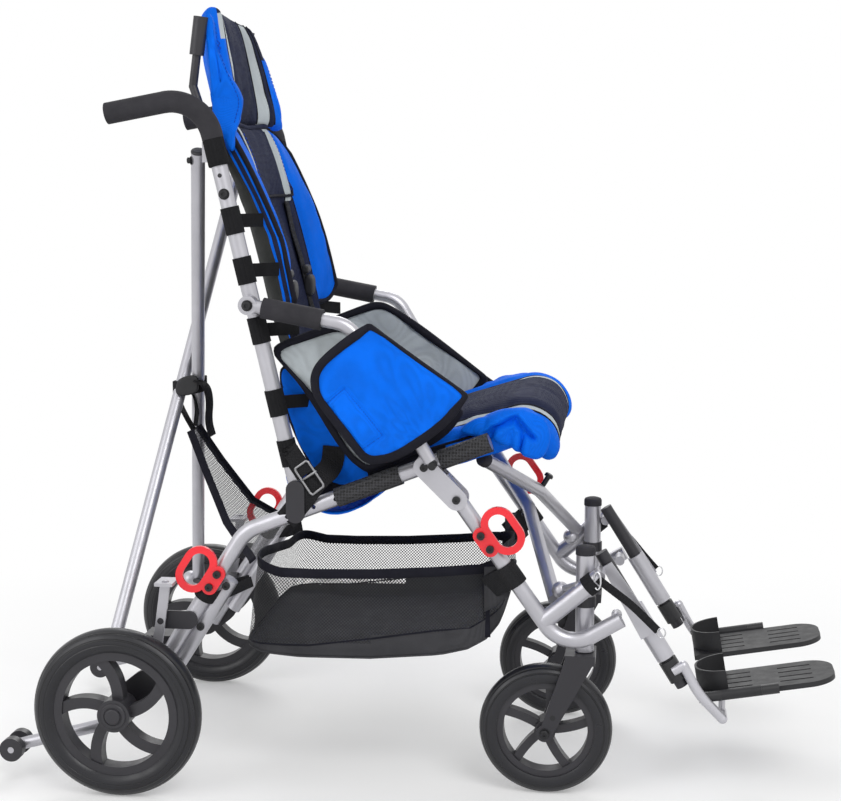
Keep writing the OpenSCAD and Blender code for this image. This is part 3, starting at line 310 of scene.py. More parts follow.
# silver footrest arm with a black clamp round the hanger tube and black hinge rods
def arm_mat():
    n = Nodes("footrest_arm_silver")
    tube_clamp = rod_mask(n, 719, 165, 372, -58, 14.6, 209, 17.6)
    hinge_rods = rod_mask(n, 869.1, 167, 152.2, 10, 8.6, 60, 62)
    black = n.math("MAXIMUM", tube_clamp, hinge_rods)
    silver = n.ramp(n.noise(9.0, 4.0), (0.48, 0.475, 0.505), (0.57, 0.565, 0.605))
    n.look("Base Color", n.ramp(black, silver, (0.016, 0.016, 0.018), 0.0, 1.0))
    n.look("Metallic", n.span(black, 0.0, 1.0, 0.72, 0.1))
    n.rough(35.0, 0.3, 0.44, 5.0)
    n.bump((n.noise(900.0, 2.0), 0.12, 0.0004), (n.noise(14.0), 0.05, 0.002))
    return n.m


SILVER = metal_mat("satin_silver", (0.49, 0.485, 0.52), 0.72, 0.36)
STEEL = metal_mat("bright_steel", (0.62, 0.62, 0.64), 1.0, 0.24)
BUCKLE = metal_mat("buckle_steel", (0.3, 0.3, 0.31), 0.9, 0.35)
BLACK = metal_mat("black_paint", (0.022, 0.021, 0.026), 0.1, 0.42)
BOLT = metal_mat("black_bolt", (0.02, 0.02, 0.022), 0.4, 0.34)
RED = metal_mat("red_paint", (0.83, 0.008, 0.02), 0.0, 0.32, 0.35)
ARM = arm_mat()
FOAM = soft_plastic("grip_foam", (0.023, 0.022, 0.027), 0.82, 700.0, 0.5)
PLATE = soft_plastic("moulded_black", (0.016, 0.016, 0.018), 0.55, 350.0, 0.3)
RIM = soft_plastic("wheel_plastic", (0.03, 0.029, 0.034), 0.4, 600.0, 0.15)
TYRE_REAR = tyre_mat("rear_tyre_rubber", (0.011, 0.011, 0.0145), axle[0], WHEEL_R / 1000, 0.0085, 0.108)
TYRE_FRONT = tyre_mat("front_tyre_rubber", (0.012, 0.012, 0.0155), P(CASTER_X, 0, 0)[0], CASTER_R / 1000, 0.007, 0.084)
SLEEVE = dotted_mat("woven_sleeve", (0.02, 0.02, 0.023))
BLUE = cloth_mat("blue_cloth", (0.0, 0.145, 0.82), rough=0.66, shine=0.1)
NAVY = cloth_mat("navy_cloth", (0.013, 0.017, 0.046), 0.0022, 0.85, depth=0.6)
GREY = cloth_mat("grey_cloth", (0.49, 0.535, 0.56), 0.0013, 0.6, 0.4)
OLIVE = cloth_mat("dark_lining", (0.035, 0.037, 0.036), 0.0015, 0.8)
WEB = cloth_mat("black_webbing", (0.016, 0.016, 0.018), 0.0024, 0.8, 0.1, 0.8)
BIND = cloth_mat("black_binding", (0.009, 0.009, 0.016), 0.0018, 0.8, 0.15, 0.5)
FELT = cloth_mat("hook_tape", (0.016, 0.016, 0.018), 0.0012, 0.95, 0.2, 0.9)
THREAD = cloth_mat("blue_thread", (0.0, 0.06, 0.5), 0.0006, 0.7, 0.05)
BASE = cloth_mat("basket_base", (0.05, 0.05, 0.055), 0.0018, 0.85, 0.5)
NET = net_mat("basket_net", 0.33)
FINE_NET = net_mat("rear_net_cloth", 0.5)

LOOKS = [
    (SILVER, "side_rail front_leg leg_bracket back_upright armrest_tube rear_cross front_cross brake_lever"),
    (BLACK, "frame_brackets head_post caster_fork footrest_tube"), (BOLT, "frame_bolts"), (RED, "tie_downs"),
    (SLEEVE, "rail_sleeves"), (FELT, "upright_straps"), (FOAM, "push_grip armrest_pad"), (ARM, "footrest_arm"),
    (PLATE, "footplate"), (RIM, "rear_rim caster_rim rollers"), (TYRE_REAR, "rear_tyre"), (TYRE_FRONT, "caster_tyre"),
]
for look, kinds in LOOKS:
    for node, obj in nodes.items():
        if node.removeprefix("right_").removeprefix("left_") in kinds.split():
            obj.data.materials.clear()
            obj.data.materials.append(look)


# mesh tools
def piece(verts, faces, mats, index=None, smooth=True):
    me = bpy.data.meshes.new("piece")
    v = (np.array(verts, float).reshape(-1, 3) - (MID, 0, 0)) / 1000
    me.from_pydata(v.tolist(), [], [list(map(int, f)) for f in faces])
    for m in mats:
        me.materials.append(m)
    if index is not None:
        me.polygons.foreach_set("material_index", np.array(index, dtype=np.int32))
    me.polygons.foreach_set("use_smooth", [smooth] * len(me.polygons))
    bm = bmesh.new()
    bm.from_mesh(me)
    bmesh.ops.recalc_face_normals(bm, faces=bm.faces)
    bm.to_mesh(me)
    bm.free()
    me.update()
    o = bpy.data.objects.new("piece", me)
    scene.collection.objects.link(o)
    return o


def apply_all(o):
    dg = bpy.context.evaluated_depsgraph_get()
    dg.update()
    me = bpy.data.meshes.new_from_object(o.evaluated_get(dg))
    old = o.data
    o.modifiers.clear()
    o.data = me
    bpy.data.meshes.remove(old)


def subdivide(o):
    m = o.modifiers.new("sub", "SUBSURF")
    m.levels = m.render_levels = 1
    apply_all(o)


# one named piece made of several
def join(name, objs):
    if len(objs) > 1:
        with bpy.context.temp_override(active_object=objs[0], selected_editable_objects=objs):
            bpy.ops.object.join()
    objs[0].name = objs[0].data.name = name
    return objs[0]


# quads of a grid of n rows with m points each
def grid_faces(n, m):
    return [[i * m + j, i * m + j + 1, (i + 1) * m + j + 1, (i + 1) * m + j]
            for i in range(n - 1) for j in range(m - 1)]


# quads between neighbouring rings of points, with caps at the ends of an open run
def ring_faces(rows, sides, closed=False, caps=True):
    faces = []
    for i in range(rows if closed else rows - 1):
        j = (i + 1) % rows
        for k in range(sides):
            q = (k + 1) % sides
            faces.append([i * sides + k, i * sides + q, j * sides + q, j * sides + k])
    if caps and not closed:
        faces += [list(range(sides))[::-1], [(rows - 1) * sides + k for k in range(sides)]]
    return faces


def tangents(p, closed):
    t = np.roll(p, -1, 0) - np.roll(p, 1, 0) if closed else np.gradient(p, axis=0)
    return t / np.maximum(np.linalg.norm(t, axis=1), 1e-9)[:, None]


# round tube along points
def tube(pts, r, mat, closed=False, sides=8):
    p = np.array(pts, float)
    t = tangents(p, closed)
    u = np.array([0.0, 0.0, 1.0] if abs(t[0][2]) < 0.9 else [1.0, 0.0, 0.0])
    verts = []
    for at, along in zip(p, t):
        u = unit(u - along * u.dot(along))
        verts += circle(at, r, u, np.cross(along, u), turn(sides))
    return piece(verts, ring_faces(len(p), sides, closed), [mat])


# cross-section of a strap, in shares of its width and thickness
STRAP = [(-0.5, -0.25), (-0.46, -0.5), (0.46, -0.5), (0.5, -0.25),
         (0.5, 0.25), (0.46, 0.5), (-0.46, 0.5), (-0.5, 0.25)]


# flat strap along points; across is the direction of its width
def strap(pts, across, width, thick, mat, closed=False):
    p = np.array(pts, float)
    t = tangents(p, closed)
    a = np.array(across, float) - t * (t @ np.array(across, float))[:, None]
    a /= np.linalg.norm(a, axis=1)[:, None]
    out = np.cross(t, a)
    verts = [p[i] + a[i] * width * x + out[i] * thick * y for i in range(len(p)) for x, y in STRAP]
    return piece(verts, ring_faces(len(p), len(STRAP), closed), [mat])


# n even points on a path whose corners are cut twice
def smooth_path(pts, n, closed=False):
    p = np.array(pts, float)
    if closed:
        p = np.vstack([p, p[:1]])
    for _ in range(2):
        q = [p[0]] if not closed else []
        for a, b in zip(p[:-1], p[1:]):
            q += [a * 0.75 + b * 0.25, a * 0.25 + b * 0.75]
        q.append(p[-1] if not closed else q[0])
        p = np.array(q)
    d = run(p)
    s = np.linspace(0, d[-1], n + (1 if closed else 0))
    out = np.column_stack([np.interp(s, d, p[:, k]) for k in range(p.shape[1])])
    return out[:-1] if closed else out


# places round the edge of a grid, in order
def border(n, m):
    return ([(i, 0) for i in range(n - 1)] + [(n - 1, j) for j in range(m - 1)]
            + [(i, m - 1) for i in range(n - 1, 0, -1)] + [(0, j) for j in range(m - 1, 0, -1)])


# closed padded form between a top and a low grid, with a rounded rim made of bands
def pad(point, n, mats, pick_top, low_mat, rim):
    top, low = (np.array([[point(i / n, j / NV, s) for j in range(NV + 1)] for i in range(n + 1)]) for s in (1, -1))
    rows, cols = n + 1, NV + 1
    count = rows * cols
    ring = border(rows, cols)
    verts = list(top.reshape(-1, 3)) + list(low.reshape(-1, 3))
    faces, index = [], []
    for k, q in enumerate(grid_faces(rows, cols)):
        faces += [q, [count + c for c in q[::-1]]]
        index += [pick_top((k // NV + 0.5) / n, (k % NV + 0.5) / NV), low_mat]
    bands = [[i * cols + j for i, j in ring]]
    for k in range(1, len(rim)):
        s = k / len(rim)
        bands.append(list(range(len(verts), len(verts) + len(ring))))
        for i, j in ring:
            a, b = top[i, j], low[i, j]
            ii, jj = min(max(i, 1), n - 1), min(max(j, 1), NV - 1)
            out = unit(a - top[ii, jj] + b - low[ii, jj])
            verts.append(a + (b - a) * s + out * np.linalg.norm(b - a) * 0.28 * math.sin(math.pi * s))
    bands.append([count + i * cols + j for i, j in ring])
    for k in range(len(rim)):
        for a in range(len(ring)):
            b = (a + 1) % len(ring)
            faces.append([bands[k][a], bands[k][b], bands[k + 1][b], bands[k + 1][a]])
            index.append(rim[k])
    return piece(verts, faces, mats, index)


CLOTH = {"quality": 6, "mass": 0.25, "tension_stiffness": 12, "compression_stiffness": 12, "shear_stiffness": 4,
         "bending_stiffness": 0.3, "use_pressure": True, "uniform_pressure_force": 4.0, "vertex_group_mass": "seams"}


# air pressure swells the fabric between its seams; no point moves further than the cap in metres
def swell(o, seams, cap=0.006):
    frames = 14
    before = np.array([v.co for v in o.data.vertices])
    g = o.vertex_groups.new(name="seams")
    g.add([int(i) for i in seams], 1.0, "REPLACE")
    c = o.modifiers.new("cloth", "CLOTH")
    for key, value in CLOTH.items():
        setattr(c.settings, key, value)
    c.settings.effector_weights.gravity = 0.0
    c.point_cache.frame_start = 1
    c.point_cache.frame_end = frames
    for f in range(1, frames + 1):
        scene.frame_set(f)
    dg = bpy.context.evaluated_depsgraph_get()
    after = np.array([v.co for v in o.evaluated_get(dg).data.vertices])
    o.modifiers.remove(c)
    scene.frame_set(1)
    move = after - before
    size = np.linalg.norm(move, axis=1)
    move *= np.minimum(1.0, cap / np.maximum(size, 1e-9))[:, None]
    o.data.vertices.foreach_set("co", (before + move).ravel())
    o.vertex_groups.clear()
    o.data.update()


# creases: noise along the normals, in metres
def crease(o, amp, size, stretch=(1, 1, 1), seed=0.0):
    me = o.data
    nrm = np.array([v.normal for v in me.vertices])
    co = np.array([v.co for v in me.vertices])
    k = np.array([noise.noise(Vector(c)) for c in co * stretch / size + (seed, 0, 0)])
    me.vertices.foreach_set("co", (co + nrm * (amp * (np.abs(k) * 2 - 0.5))[:, None]).ravel())
    me.update()


# the y that soft pieces gather at in the fold, and the share of the width they keep; these are not applied here,
# settle only gives a piece that has one its own mesh
SEAT_FOLD, BACK_FOLD, HEAD_FOLD, BASKET_FOLD = (-200, 0.27), (-178, 0.145), (-143, 0.05), (-188, 0.25)


def settle(o, body, replaced=(), crumple=None):
    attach(o, body)
    if replaced:
        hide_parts(*replaced)
    if crumple:
        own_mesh(o)


# padded form from a closed outline in the XZ plane, and that outline made smooth;
# deep(x, z) scales the padding, lean(x, z) moves it sideways
def pillow(outline, y, thick, mats, pick=None, n=120, rings=16, edge=0.3, deep=None, lean=None):
    o = smooth_path(outline, n, True)
    c = o.mean(0)
    verts, faces = [], []
    for side in (1, -1):
        for k in range(rings + 1):
            r = 1 - (1 - k / rings) ** 1.5 if k else 0.0
            t = thick / 2 * (edge + (1 - edge) * math.sqrt(max(0.0, 1 - r ** 5)))
            for q in (o if k else c[None]):
                x, z = c + (q - c) * r
                d = t * (deep(x, z) if deep else 1.0)
                verts.append((x, y + side * d + (lean(x, z) if lean else 0.0), z))
    m = 1 + rings * n
    for b in (0, m):
        for a in range(n):
            q = (a + 1) % n
            faces.append([b, b + 1 + a, b + 1 + q])
            for k in range(rings - 1):
                i = b + 1 + k * n
                faces.append([i + a, i + q, i + n + q, i + n + a])
    i = 1 + (rings - 1) * n
    for a in range(n):
        q = (a + 1) % n
        faces.append([i + a, i + q, m + i + q, m + i + a])
    v = np.array(verts)
    return piece(verts, faces, mats, [pick(*v[f].mean(0)) for f in faces] if pick else None), o


# row of stitches along points
def stitches(pts, pitch=6.5, share=0.62, r=0.7):
    p = np.array(pts, float)
    d = run(p)
    at = lambda s: np.array([np.interp(s, d, p[:, k]) for k in range(3)])
    verts, faces = [], []
    for i in range(int(d[-1] / pitch)):
        a, b = at(i * pitch), at((i + share) * pitch)
        t = unit(b - a)
        u = unit(np.cross(t, (0.3, 1.0, 0.2)))
        w = np.cross(t, u)
        k = len(verts)
        for q in (a, b):
            verts += [q + u * r, q + w * r, q - u * r, q - w * r]
        faces += [[k, k + 1, k + 2, k + 3], [k + 4, k + 7, k + 6, k + 5]]
        faces += [[k + e, k + (e + 1) % 4, k + 4 + (e + 1) % 4, k + 4 + e] for e in range(4)]
    return piece(verts, faces, [THREAD])


# (x, z) points laid on the outer face of a finished piece
def lift(o, pts, side, up=0.5):
    facing = np.array([q.normal[1] for q in o.data.vertices]) * side
    v = points_mm(o)[facing > 0.2]
    out = []
    for x, z in pts:
        k = ((v[:, 0] - x) ** 2 + (v[:, 2] - z) ** 2).argmin()
        out.append((x, v[k, 1] + side * up, z))
    return out


def set_uv(o, uv):
    layer = o.data.uv_layers.new(name="UVMap")
    loops = np.zeros(len(o.data.loops), dtype=np.int32)
    o.data.loops.foreach_get("vertex_index", loops)
    layer.data.foreach_set("uv", np.array(uv, float)[loops].ravel())


# grid of points as a sheet with thickness
def sheet_grid(rows, thick, mat):
    g = np.array(rows, float)
    o = piece(g, grid_faces(*g.shape[:2]), [mat])
    if thick:
        k = o.modifiers.new("thick", "SOLIDIFY")
        k.thickness = thick / 1000
        k.offset = 0
        apply_all(o)
    return o


# unit vectors from an outline towards its middle
def inward(rim):
    return np.array([unit(v) for v in rim.mean(0) - rim])


# band round a bar
def ring_on(centre, axis, r, width, thick, mat):
    a = unit(axis)
    u = unit(np.cross(a, (0.1, 1.0, 0.3)))
    pts = circle(np.array(centre, float), r, u, np.cross(a, u), turn(40))
    return strap(pts, a, width, thick, mat, True)


# turned form: profile of (along, radius) on an axis that starts at a point
def lathe(at, axis, profile, mat, n=28):
    a = unit(axis)
    u = unit(np.cross(a, (0.2, 0.3, 1.0) if abs(a[2]) < 0.9 else (1.0, 0.2, 0.0)))
    verts = [circle(np.array(at, float) + a * h, max(r, 0.05), u, np.cross(a, u), turn(n)) for h, r in profile]
    return piece(verts, ring_faces(len(profile), n), [mat], smooth=False)


# strap round a bar and back to its tail
def looped(bar, axis, out, tail, width, r=15):
    axis, bar, tail = unit(axis), np.array(bar, float), np.array(tail, float)
    u = np.array(out, float)
    u = unit(u - axis * u.dot(axis))
    pts = circle(bar, r, u, np.cross(axis, u), np.linspace(-2.3, 2.3, 22))
    pts = [tail - u * 1.5] + pts + [tail + u * 1.5]
    return strap(smooth_path(pts, 60), axis, width, 2.2, WEB)


# camera at the photograph's place; focal length and width are in the photograph's pixels
FOCAL, PHOTO_W, SENSOR = 1655.0, 841.0, 36.0
cam = bpy.data.objects.new("camera", bpy.data.cameras.new("camera"))
scene.collection.objects.link(cam)
cam.data.sensor_fit = "HORIZONTAL"
cam.data.sensor_width = SENSOR
cam.data.lens = SENSOR * FOCAL / PHOTO_W
cam.data.clip_end = 60.0
right, up, back = (0.99126, 0.13193, 0.0), (-0.01866, 0.14023, 0.98994), (0.1306, -0.98129, 0.14146)
cam.matrix_world = Matrix.Translation(P(770.9, -2606.6, 948.7)) @ Matrix((right, up, back)).transposed().to_4x4()
scene.camera = cam

# pads: cells along the seat and back, across every pad, and along the headrest
NU, NV, HU = 56, 60, 40


# thickness of a pad, as a share: 1 in its middle, edge at its rim
def full(u, v, edge=0.42):
    a = (1 - abs(2 * u - 1) ** 6) * (1 - abs(2 * v - 1) ** 6)
    return edge + (1 - edge) * math.sqrt(max(a, 0.0))


def groove(v, at, wide, deep):
    return 1 - deep * max(math.exp(-((v - c) / wide) ** 2) for c in at)


def columns(seams):
    return [round(c * NV) for c in seams]


def seam_points(n, cols):
    return [i * (NV + 1) + j for i in range(n + 1) for j in cols]


# upper face of a finished pad, in millimetres
def pad_top(o, n):
    return points_mm(o)[:(n + 1) * (NV + 1)].reshape(n + 1, NV + 1, 3)


def piping(top, cols, off, r):
    return [tube(top[1:-1, j] + off, r, BIND) for j in cols]


# seat cushion: straight from S0 to S1, then rolled over the front edge
S0, S1 = np.array([282.0, 476.0]), np.array([591.0, 573.0])
SLOPE = math.atan2(S1[1] - S0[1], S1[0] - S0[0])
ROLL_AT, ROLL_R, ROLL_TURN = 0.78, 36, math.radians(118)
SEAT_W, SEAT_T, NEAR_SAG = 366, 28, 17.0
SEAT_SEAMS = (0.1, 0.1334, 0.8666, 0.9)


def seat_point(u, v, s):
    a = SLOPE - past(u, ROLL_AT, 1 - ROLL_AT) * ROLL_TURN
    up = np.array([-math.sin(a), math.cos(a)])
    if u < ROLL_AT:
        mid = S0 + (S1 - S0) * u / ROLL_AT
    else:
        mid = S1 + ROLL_R * (up - np.array([-math.sin(SLOPE), math.cos(SLOPE)]))
    mid = mid - np.array([0.0, NEAR_SAG]) * ease((0.2 - v) / 0.16)
    bolster = 0.92 + 0.3 * clamp((u - 0.42) / 0.2) * math.exp(-((v - 0.95) / 0.05) ** 2)
    t = SEAT_T * full(u, v) * (groove(v, SEAT_SEAMS, 0.014, 0.16) * bolster if s > 0 else 1.0)
    p = mid + s * t * up
    wide = 1 - 0.025 * (1 - (2 * u - 1) ** 2) - 0.15 * past(u, 0.84, 0.16) ** 2
    return (p[0], (v - 0.5) * SEAT_W * wide, p[1])


def seat_pick(u, v):
    d = abs(v - 0.5)
    return 2 if d < 0.366 else (1 if d < 0.4 else 0)


seat = pad(seat_point, NU, [BLUE, GREY, NAVY, BIND], seat_pick, 0, [0, 3, 0])
# the rim carries the stripes round, and is bound in black only behind the bolsters
for f in seat.data.polygons[2 * NU * NV:]:
    y = abs(f.center[1])
    if y < 0.1464:
        f.material_index = 2 if y < 0.12 else 1
    else:
        f.material_index = 3 if f.center[0] < P(486, 0, 0)[0] else 0
cols = columns(SEAT_SEAMS)
swell(seat, seam_points(NU, cols) + [NU // 2 * (NV + 1) + j for j in range(cols[1], cols[2] + 1)])
top = pad_top(seat, NU)
stop = round(0.86 * NU)
edge = tube(np.vstack([top[stop:0:-1, 0], top[0], top[1:stop, -1]]), 2.2, BIND)
bits = piping(top, cols, [0, 0, 0.5], 1.7) + [edge]
crease(seat, 0.0016, 0.035, (1, 0.6, 1))
subdivide(seat)
settle(join("seat_pad", [seat] + bits), "right_frame", ["seat_cushion"], SEAT_FOLD)

# back cushion: blue wings, navy middle with a flap over its top, rim with blue and black bands
BACK_W, BACK_T, HOLLOW = 342, 23, 26
BACK_SEAMS = (0.1834, 0.2667, 0.7333, 0.8166)
FLAP_U = 0.74


def back_point(u, v, s):
    d = abs(v - 0.5)
    low = lerp(552.0, 718.0 + 26 * past(d, 0.4, 0.1) ** 2, ease((d - 0.28) / 0.06))
    high = 1005.0 - 16 * past(d, 0.31, 0.19) ** 2 - 24 * past(d, 0.43, 0.07) ** 2
    z = lerp(low, high, u)
    wing = 56 - 36 * past(z, 780, 212) ** 2 + 40 * past(z, 700, -150)
    bow = abs(2 * v - 1) ** 2.1
    w = bow * wing - HOLLOW if s > 0 else bow * (wing - HOLLOW)
    t = BACK_T * full(u, v, 0.58) * (groove(v, BACK_SEAMS, 0.014, 0.2) if s > 0 else 1.0)
    if s > 0 and u > FLAP_U and d < 0.31:
        t += 3.0
    return (upright_x(z) + 16 + w + s * t * BACK_DIR[1], (0.5 - v) * BACK_W, z - s * t * BACK_DIR[0])


def back_pick(u, v):
    d = abs(v - 0.5)
    if d < 0.318:
        return 2 if u > FLAP_U and 0.234 < d < 0.3 else 1
    return 0


backp = pad(back_point, NU, [BLUE, NAVY, GREY, OLIVE, BIND], back_pick, 3, [4, 0, 1, 1, 0, 3, 3])
cols = columns(BACK_SEAMS)
hem = round(FLAP_U * NU)
swell(backp, seam_points(NU, cols) + [hem * (NV + 1) + j for j in range(cols[0], cols[3] + 1)], 0.005)
btop = pad_top(backp, NU)
flap = slice(cols[0], cols[3] + 1)
bits = piping(btop, cols, [0.5, 0, 0], 1.6)
bits.append(tube([btop[i, j] for i, j in border(NU + 1, NV + 1)], 4.2, BIND, True))
bits.append(tube(btop[hem + 1, flap] + [1, 0, 0], 2.4, BIND))
bits.append(tube(btop[-1, flap] + [1, 0, 1], 4.0, NAVY))
for j in (cols[0] + 2, cols[3] - 2):
    bits.append(stitches(btop[hem + 2:-1, j] + [1.5, 0, 0]))
crease(backp, 0.0016, 0.04, (1, 0.7, 0.8), 3.0)
subdivide(backp)
settle(join("back_pad", [backp] + bits), "right_upright", ["back_cushion"], BACK_FOLD)

# headrest
H0, H1 = np.array([124.0, 1006.7]), np.array([97.0, 1182.0])
HN = unit((H1[1] - H0[1], H0[0] - H1[0]))
HEAD_W, HEAD_T, HEAD_WING, HEAD_Y = 294, 24, 40, 143
HEAD_SEAMS = (0.0834, 0.1333, 0.2667, 0.7333, 0.8667, 0.9166)


def head_point(u, v, s):
    x, z = H0 + (H1 - H0) * u
    x += abs(2 * v - 1) ** 2.4 * HEAD_WING * (1 - u / 2)
    z -= 26 * u ** 4 * max(0.0, 0.5 - v)
    t = HEAD_T * full(u, v) * (groove(v, HEAD_SEAMS, 0.016, 0.14) if s > 0 else 0.62)
    return (x + s * t * HN[0], (0.5 - v) * HEAD_W * (1 - 0.3 * u ** 2.4), z + s * t * HN[1])


def head_pick(u, v):
    d = abs(v - 0.5)
    if u > 0.95 or (u > 0.62 and d > 0.41 and v < 0.5):
        return 1
    if d > 0.416 and u > 0.72:
        return 2
    return 1 if d < 0.235 or 0.367 < d < 0.416 else (2 if d < 0.368 else 0)


head = pad(head_point, HU, [BLUE, NAVY, GREY, BIND], head_pick, 0, [0, 0, 0])
cols = columns(HEAD_SEAMS)
swell(head, seam_points(HU, cols))
bits = piping(pad_top(head, HU), cols, [0.5, 0, 0], 1.6)
crease(head, 0.002, 0.04, (1, 1, 0.6), 7.0)
subdivide(head)
settle(join("head_pad", [head] + bits), "right_upright", ["head_cushion"], HEAD_FOLD)

# side lobes of the headrest; the near one turns outwards below
LOBES = {"right": [(122, 1174), (131, 1166), (134, 1142), (136, 1123), (144, 1105), (152, 1087), (170, 1056),
                   (178, 1035), (174, 1010), (168, 968), (163, 968), (148, 992), (124, 1040), (128, 1074),
                   (121, 1123), (117, 1159)],
         "left": [(128, 1118), (136, 1126), (143, 1118), (155, 1088), (167, 1053), (170, 1030), (167, 1010),
                  (145, 1008), (131, 1044), (128, 1080)]}
LEANS = {"right": lambda x, z: -34 * clamp((1046 - z) / 50), "left": None}
for side, g in SIDES.items():
    lobe, rim = pillow(LOBES[side], g * HEAD_Y, 20, [BLUE], lean=LEANS[side])
    crease(lobe, 0.003, 0.04, (1, 1, 0.6), 2.0 * g)
    sewn = [(lerp(x, 152, 0.22), lerp(z, 1060, 0.08)) for x, z in rim if z > 1000 and x > 128 + (1174 - z) * 0.1]
    seam = stitches(lift(lobe, sewn, g))
    fold = HEAD_FOLD if g > 0 else None
    settle(join(side + "_head_lobe", [lobe, seam]), "right_upright", (), fold)

# side panels: grey inner panel, blue quilted outer flap; the far flap hangs lower
INNER = [(232, 680), (274, 696), (300, 706), (322, 713), (345, 708), (406, 667), (500, 597), (511, 588), (511, 581),
         (486, 549), (440, 522), (378, 494), (366, 494), (335, 519), (280, 611), (234, 662), (231, 668)]
FLAP = [(384, 719), (378, 716), (349, 697), (316, 670), (303, 653), (299, 637), (303, 612), (335, 570), (368, 528),
        (378, 520), (392, 517), (429, 526), (496, 575), (519, 607), (526, 617), (524, 622), (451, 672), (390, 716)]
PANEL_Y, FLAP_Y = 196.5, 256.9
FLAP_DROP = {"right": 0.0, "left": -54.0}
QUILT = [(319, 602), (347, 626), (403, 558), (372, 536)]
QUILT_LINE = on_sides(QUILT, np.linspace(0, 1, 22, False))
# sections of the bindings: way in from the outline and height; the flap's way in counts in widths of its binding
HEM = ((10, -5.8), (4, -6.4), (-1.5, -4.4), (-3, 0), (-1.5, 4.4), (4, 6.4), (10, 5.8))
BINDING = ((-0.34, 0.0), (-0.3, 2.8), (0.15, 5.8), (0.6, 6.6), (1.0, 6.0), (1.04, 3.0))
BIND_WIDE, BIND_SLIM = 9.5, 3.0


def flap_deep(x, z):
    d = min(math.hypot(x - a, z - b) for a, b in QUILT_LINE)
    pull = 0.5 + 0.5 * math.sin(math.atan2(z - 540, x - 480) * 26)
    return 1 - 0.5 * math.exp(-(d / 4.0) ** 2) - 0.2 * pull * math.exp(-(math.hypot(x - 440, z - 600) / 60) ** 2)


for side, g in SIDES.items():
    inner, rim = pillow(INNER, g * PANEL_Y, 7, [GREY], edge=0.5)
    crease(inner, 0.003, 0.06, (1, 1, 1), 2.0 + g)
    rows = [[(x, g * PANEL_Y + y, z) for x, z in rim + inward(rim) * f] for f, y in HEM]
    hem = sheet_grid([row + row[:1] for row in rows], 0.8, BIND)
    flap, rim = pillow(FLAP, g * FLAP_Y, 13, [BLUE, OLIVE],
                       lambda x, y, z: int(g * (y - g * FLAP_Y) < 0), deep=flap_deep, rings=24, n=170)
    crease(flap, 0.0013, 0.035, (1.2, 1, 0.5), 5.0 * g)
    quilt = lift(flap, QUILT_LINE, g, 0.1)
    sewn = stitches(quilt + quilt[:1], 4.0, 0.7, 0.5)
    wide = np.array([BIND_SLIM if z > 618 and x > 386 else BIND_WIDE for x, z in rim])
    wide = np.convolve(np.r_[wide[-6:], wide, wide[:6]], np.ones(13) / 13, "valid")
    high = 0.72 + 0.28 * (wide - BIND_SLIM) / (BIND_WIDE - BIND_SLIM)
    rows = []
    for f, y in BINDING:
        row = [(x, g * (FLAP_Y + y * h), z) for (x, z), h in zip(rim + inward(rim) * (wide * f)[:, None], high)]
        rows.append(row + row[:1])
    bind = sheet_grid(rows, 1.0, BIND)
    rows = [[(x, 2 * g * FLAP_Y - y, z) for x, y, z in row] for row in rows]
    lining = sheet_grid(rows, 1.0, BIND)
    outer = join(side + "_flap", [flap, sewn, bind, lining])
    outer.data.transform(Matrix.Translation((0, 0, FLAP_DROP[side] / 1000)))
    cover = join(side + "_panel", [inner, hem, outer])
    settle(cover, side + "_frame", [side + "_side_panel"], None)

# blue gussets between the seat and the back, and the drooping seat bolsters with their folds
GUSSET = [(236, 645), (248, 645), (284, 606), (336, 520), (366, 494), (372, 478), (330, 464), (290, 480), (252, 556),
          (238, 610)]
DROOP = {"right": [(500, 556), (541, 579), (592, 595), (622, 586), (640, 566), (642, 538), (627, 513), (606, 520),
                   (562, 543), (526, 546)],
         "left": [(496, 562), (513, 582), (565, 596), (601, 599), (618, 590), (625, 572), (620, 545), (600, 532),
                  (560, 545), (520, 550)]}
FOLDS = [((592, 578), (604, 560)), ((604, 560), (598, 522)), ((604, 560), (618, 548)), ((592, 578), (560, 562)),
         ((560, 562), (548, 545))]
GUSSET_Y, BOLSTER_Y = 183, 184


def bolster_deep(x, z):
    d = 99.0
    for a, b in FOLDS:
        t = clamp(((x - a[0]) * (b[0] - a[0]) + (z - a[1]) * (b[1] - a[1])) / math.dist(a, b) ** 2)
        d = min(d, math.hypot(x - lerp(a[0], b[0], t), z - lerp(a[1], b[1], t)))
    return 1 - 0.62 * math.exp(-(d / 4.2) ** 2) + 0.16 * math.exp(-((d - 9) / 5.0) ** 2)


for side, g in SIDES.items():
    gusset, rim = pillow(GUSSET, g * GUSSET_Y, 8, [BLUE], edge=0.5)
    crease(gusset, 0.002, 0.04, (1, 1, 1), 9.0 + g)
    edge = tube([(x, g * GUSSET_Y, z) for x, z in rim], 2.6, BIND, True)
    settle(join(side + "_gusset", [gusset, edge]), side + "_frame", (), None)
    bolster = pillow(DROOP[side], g * BOLSTER_Y, 36, [BLUE], edge=0.2, deep=bolster_deep,
                     rings=24, n=160)[0]
    crease(bolster, 0.004, 0.03, (1, 1, 0.5), 4.0 + 3 * g)
    subdivide(bolster)
    fold = SEAT_FOLD if g > 0 else None
    settle(join(side + "_bolster", [bolster]), "right_frame", (), fold)

# sling under the seat, from rail to rail
SLING = smooth_path([(246, 474), (254, 446), (272, 428), (319, 416), (360, 430), (392, 456), (404, 474)], 34)
rows = [[(x, v * 190, z + 6 + (2.2 * math.sin(9 * v + 0.25 * k) - 10) * (1 - v * v)) for v in np.linspace(-1, 1, 41)]
        for k, (x, z) in enumerate(SLING)]
sling = join("seat_sling_cloth", [sheet_grid(rows, 2.4, BLUE)])
crease(sling, 0.002, 0.05, (1, 0.5, 1), 1.0)
settle(sling, "right_frame", ["seat_sling"], SEAT_FOLD)

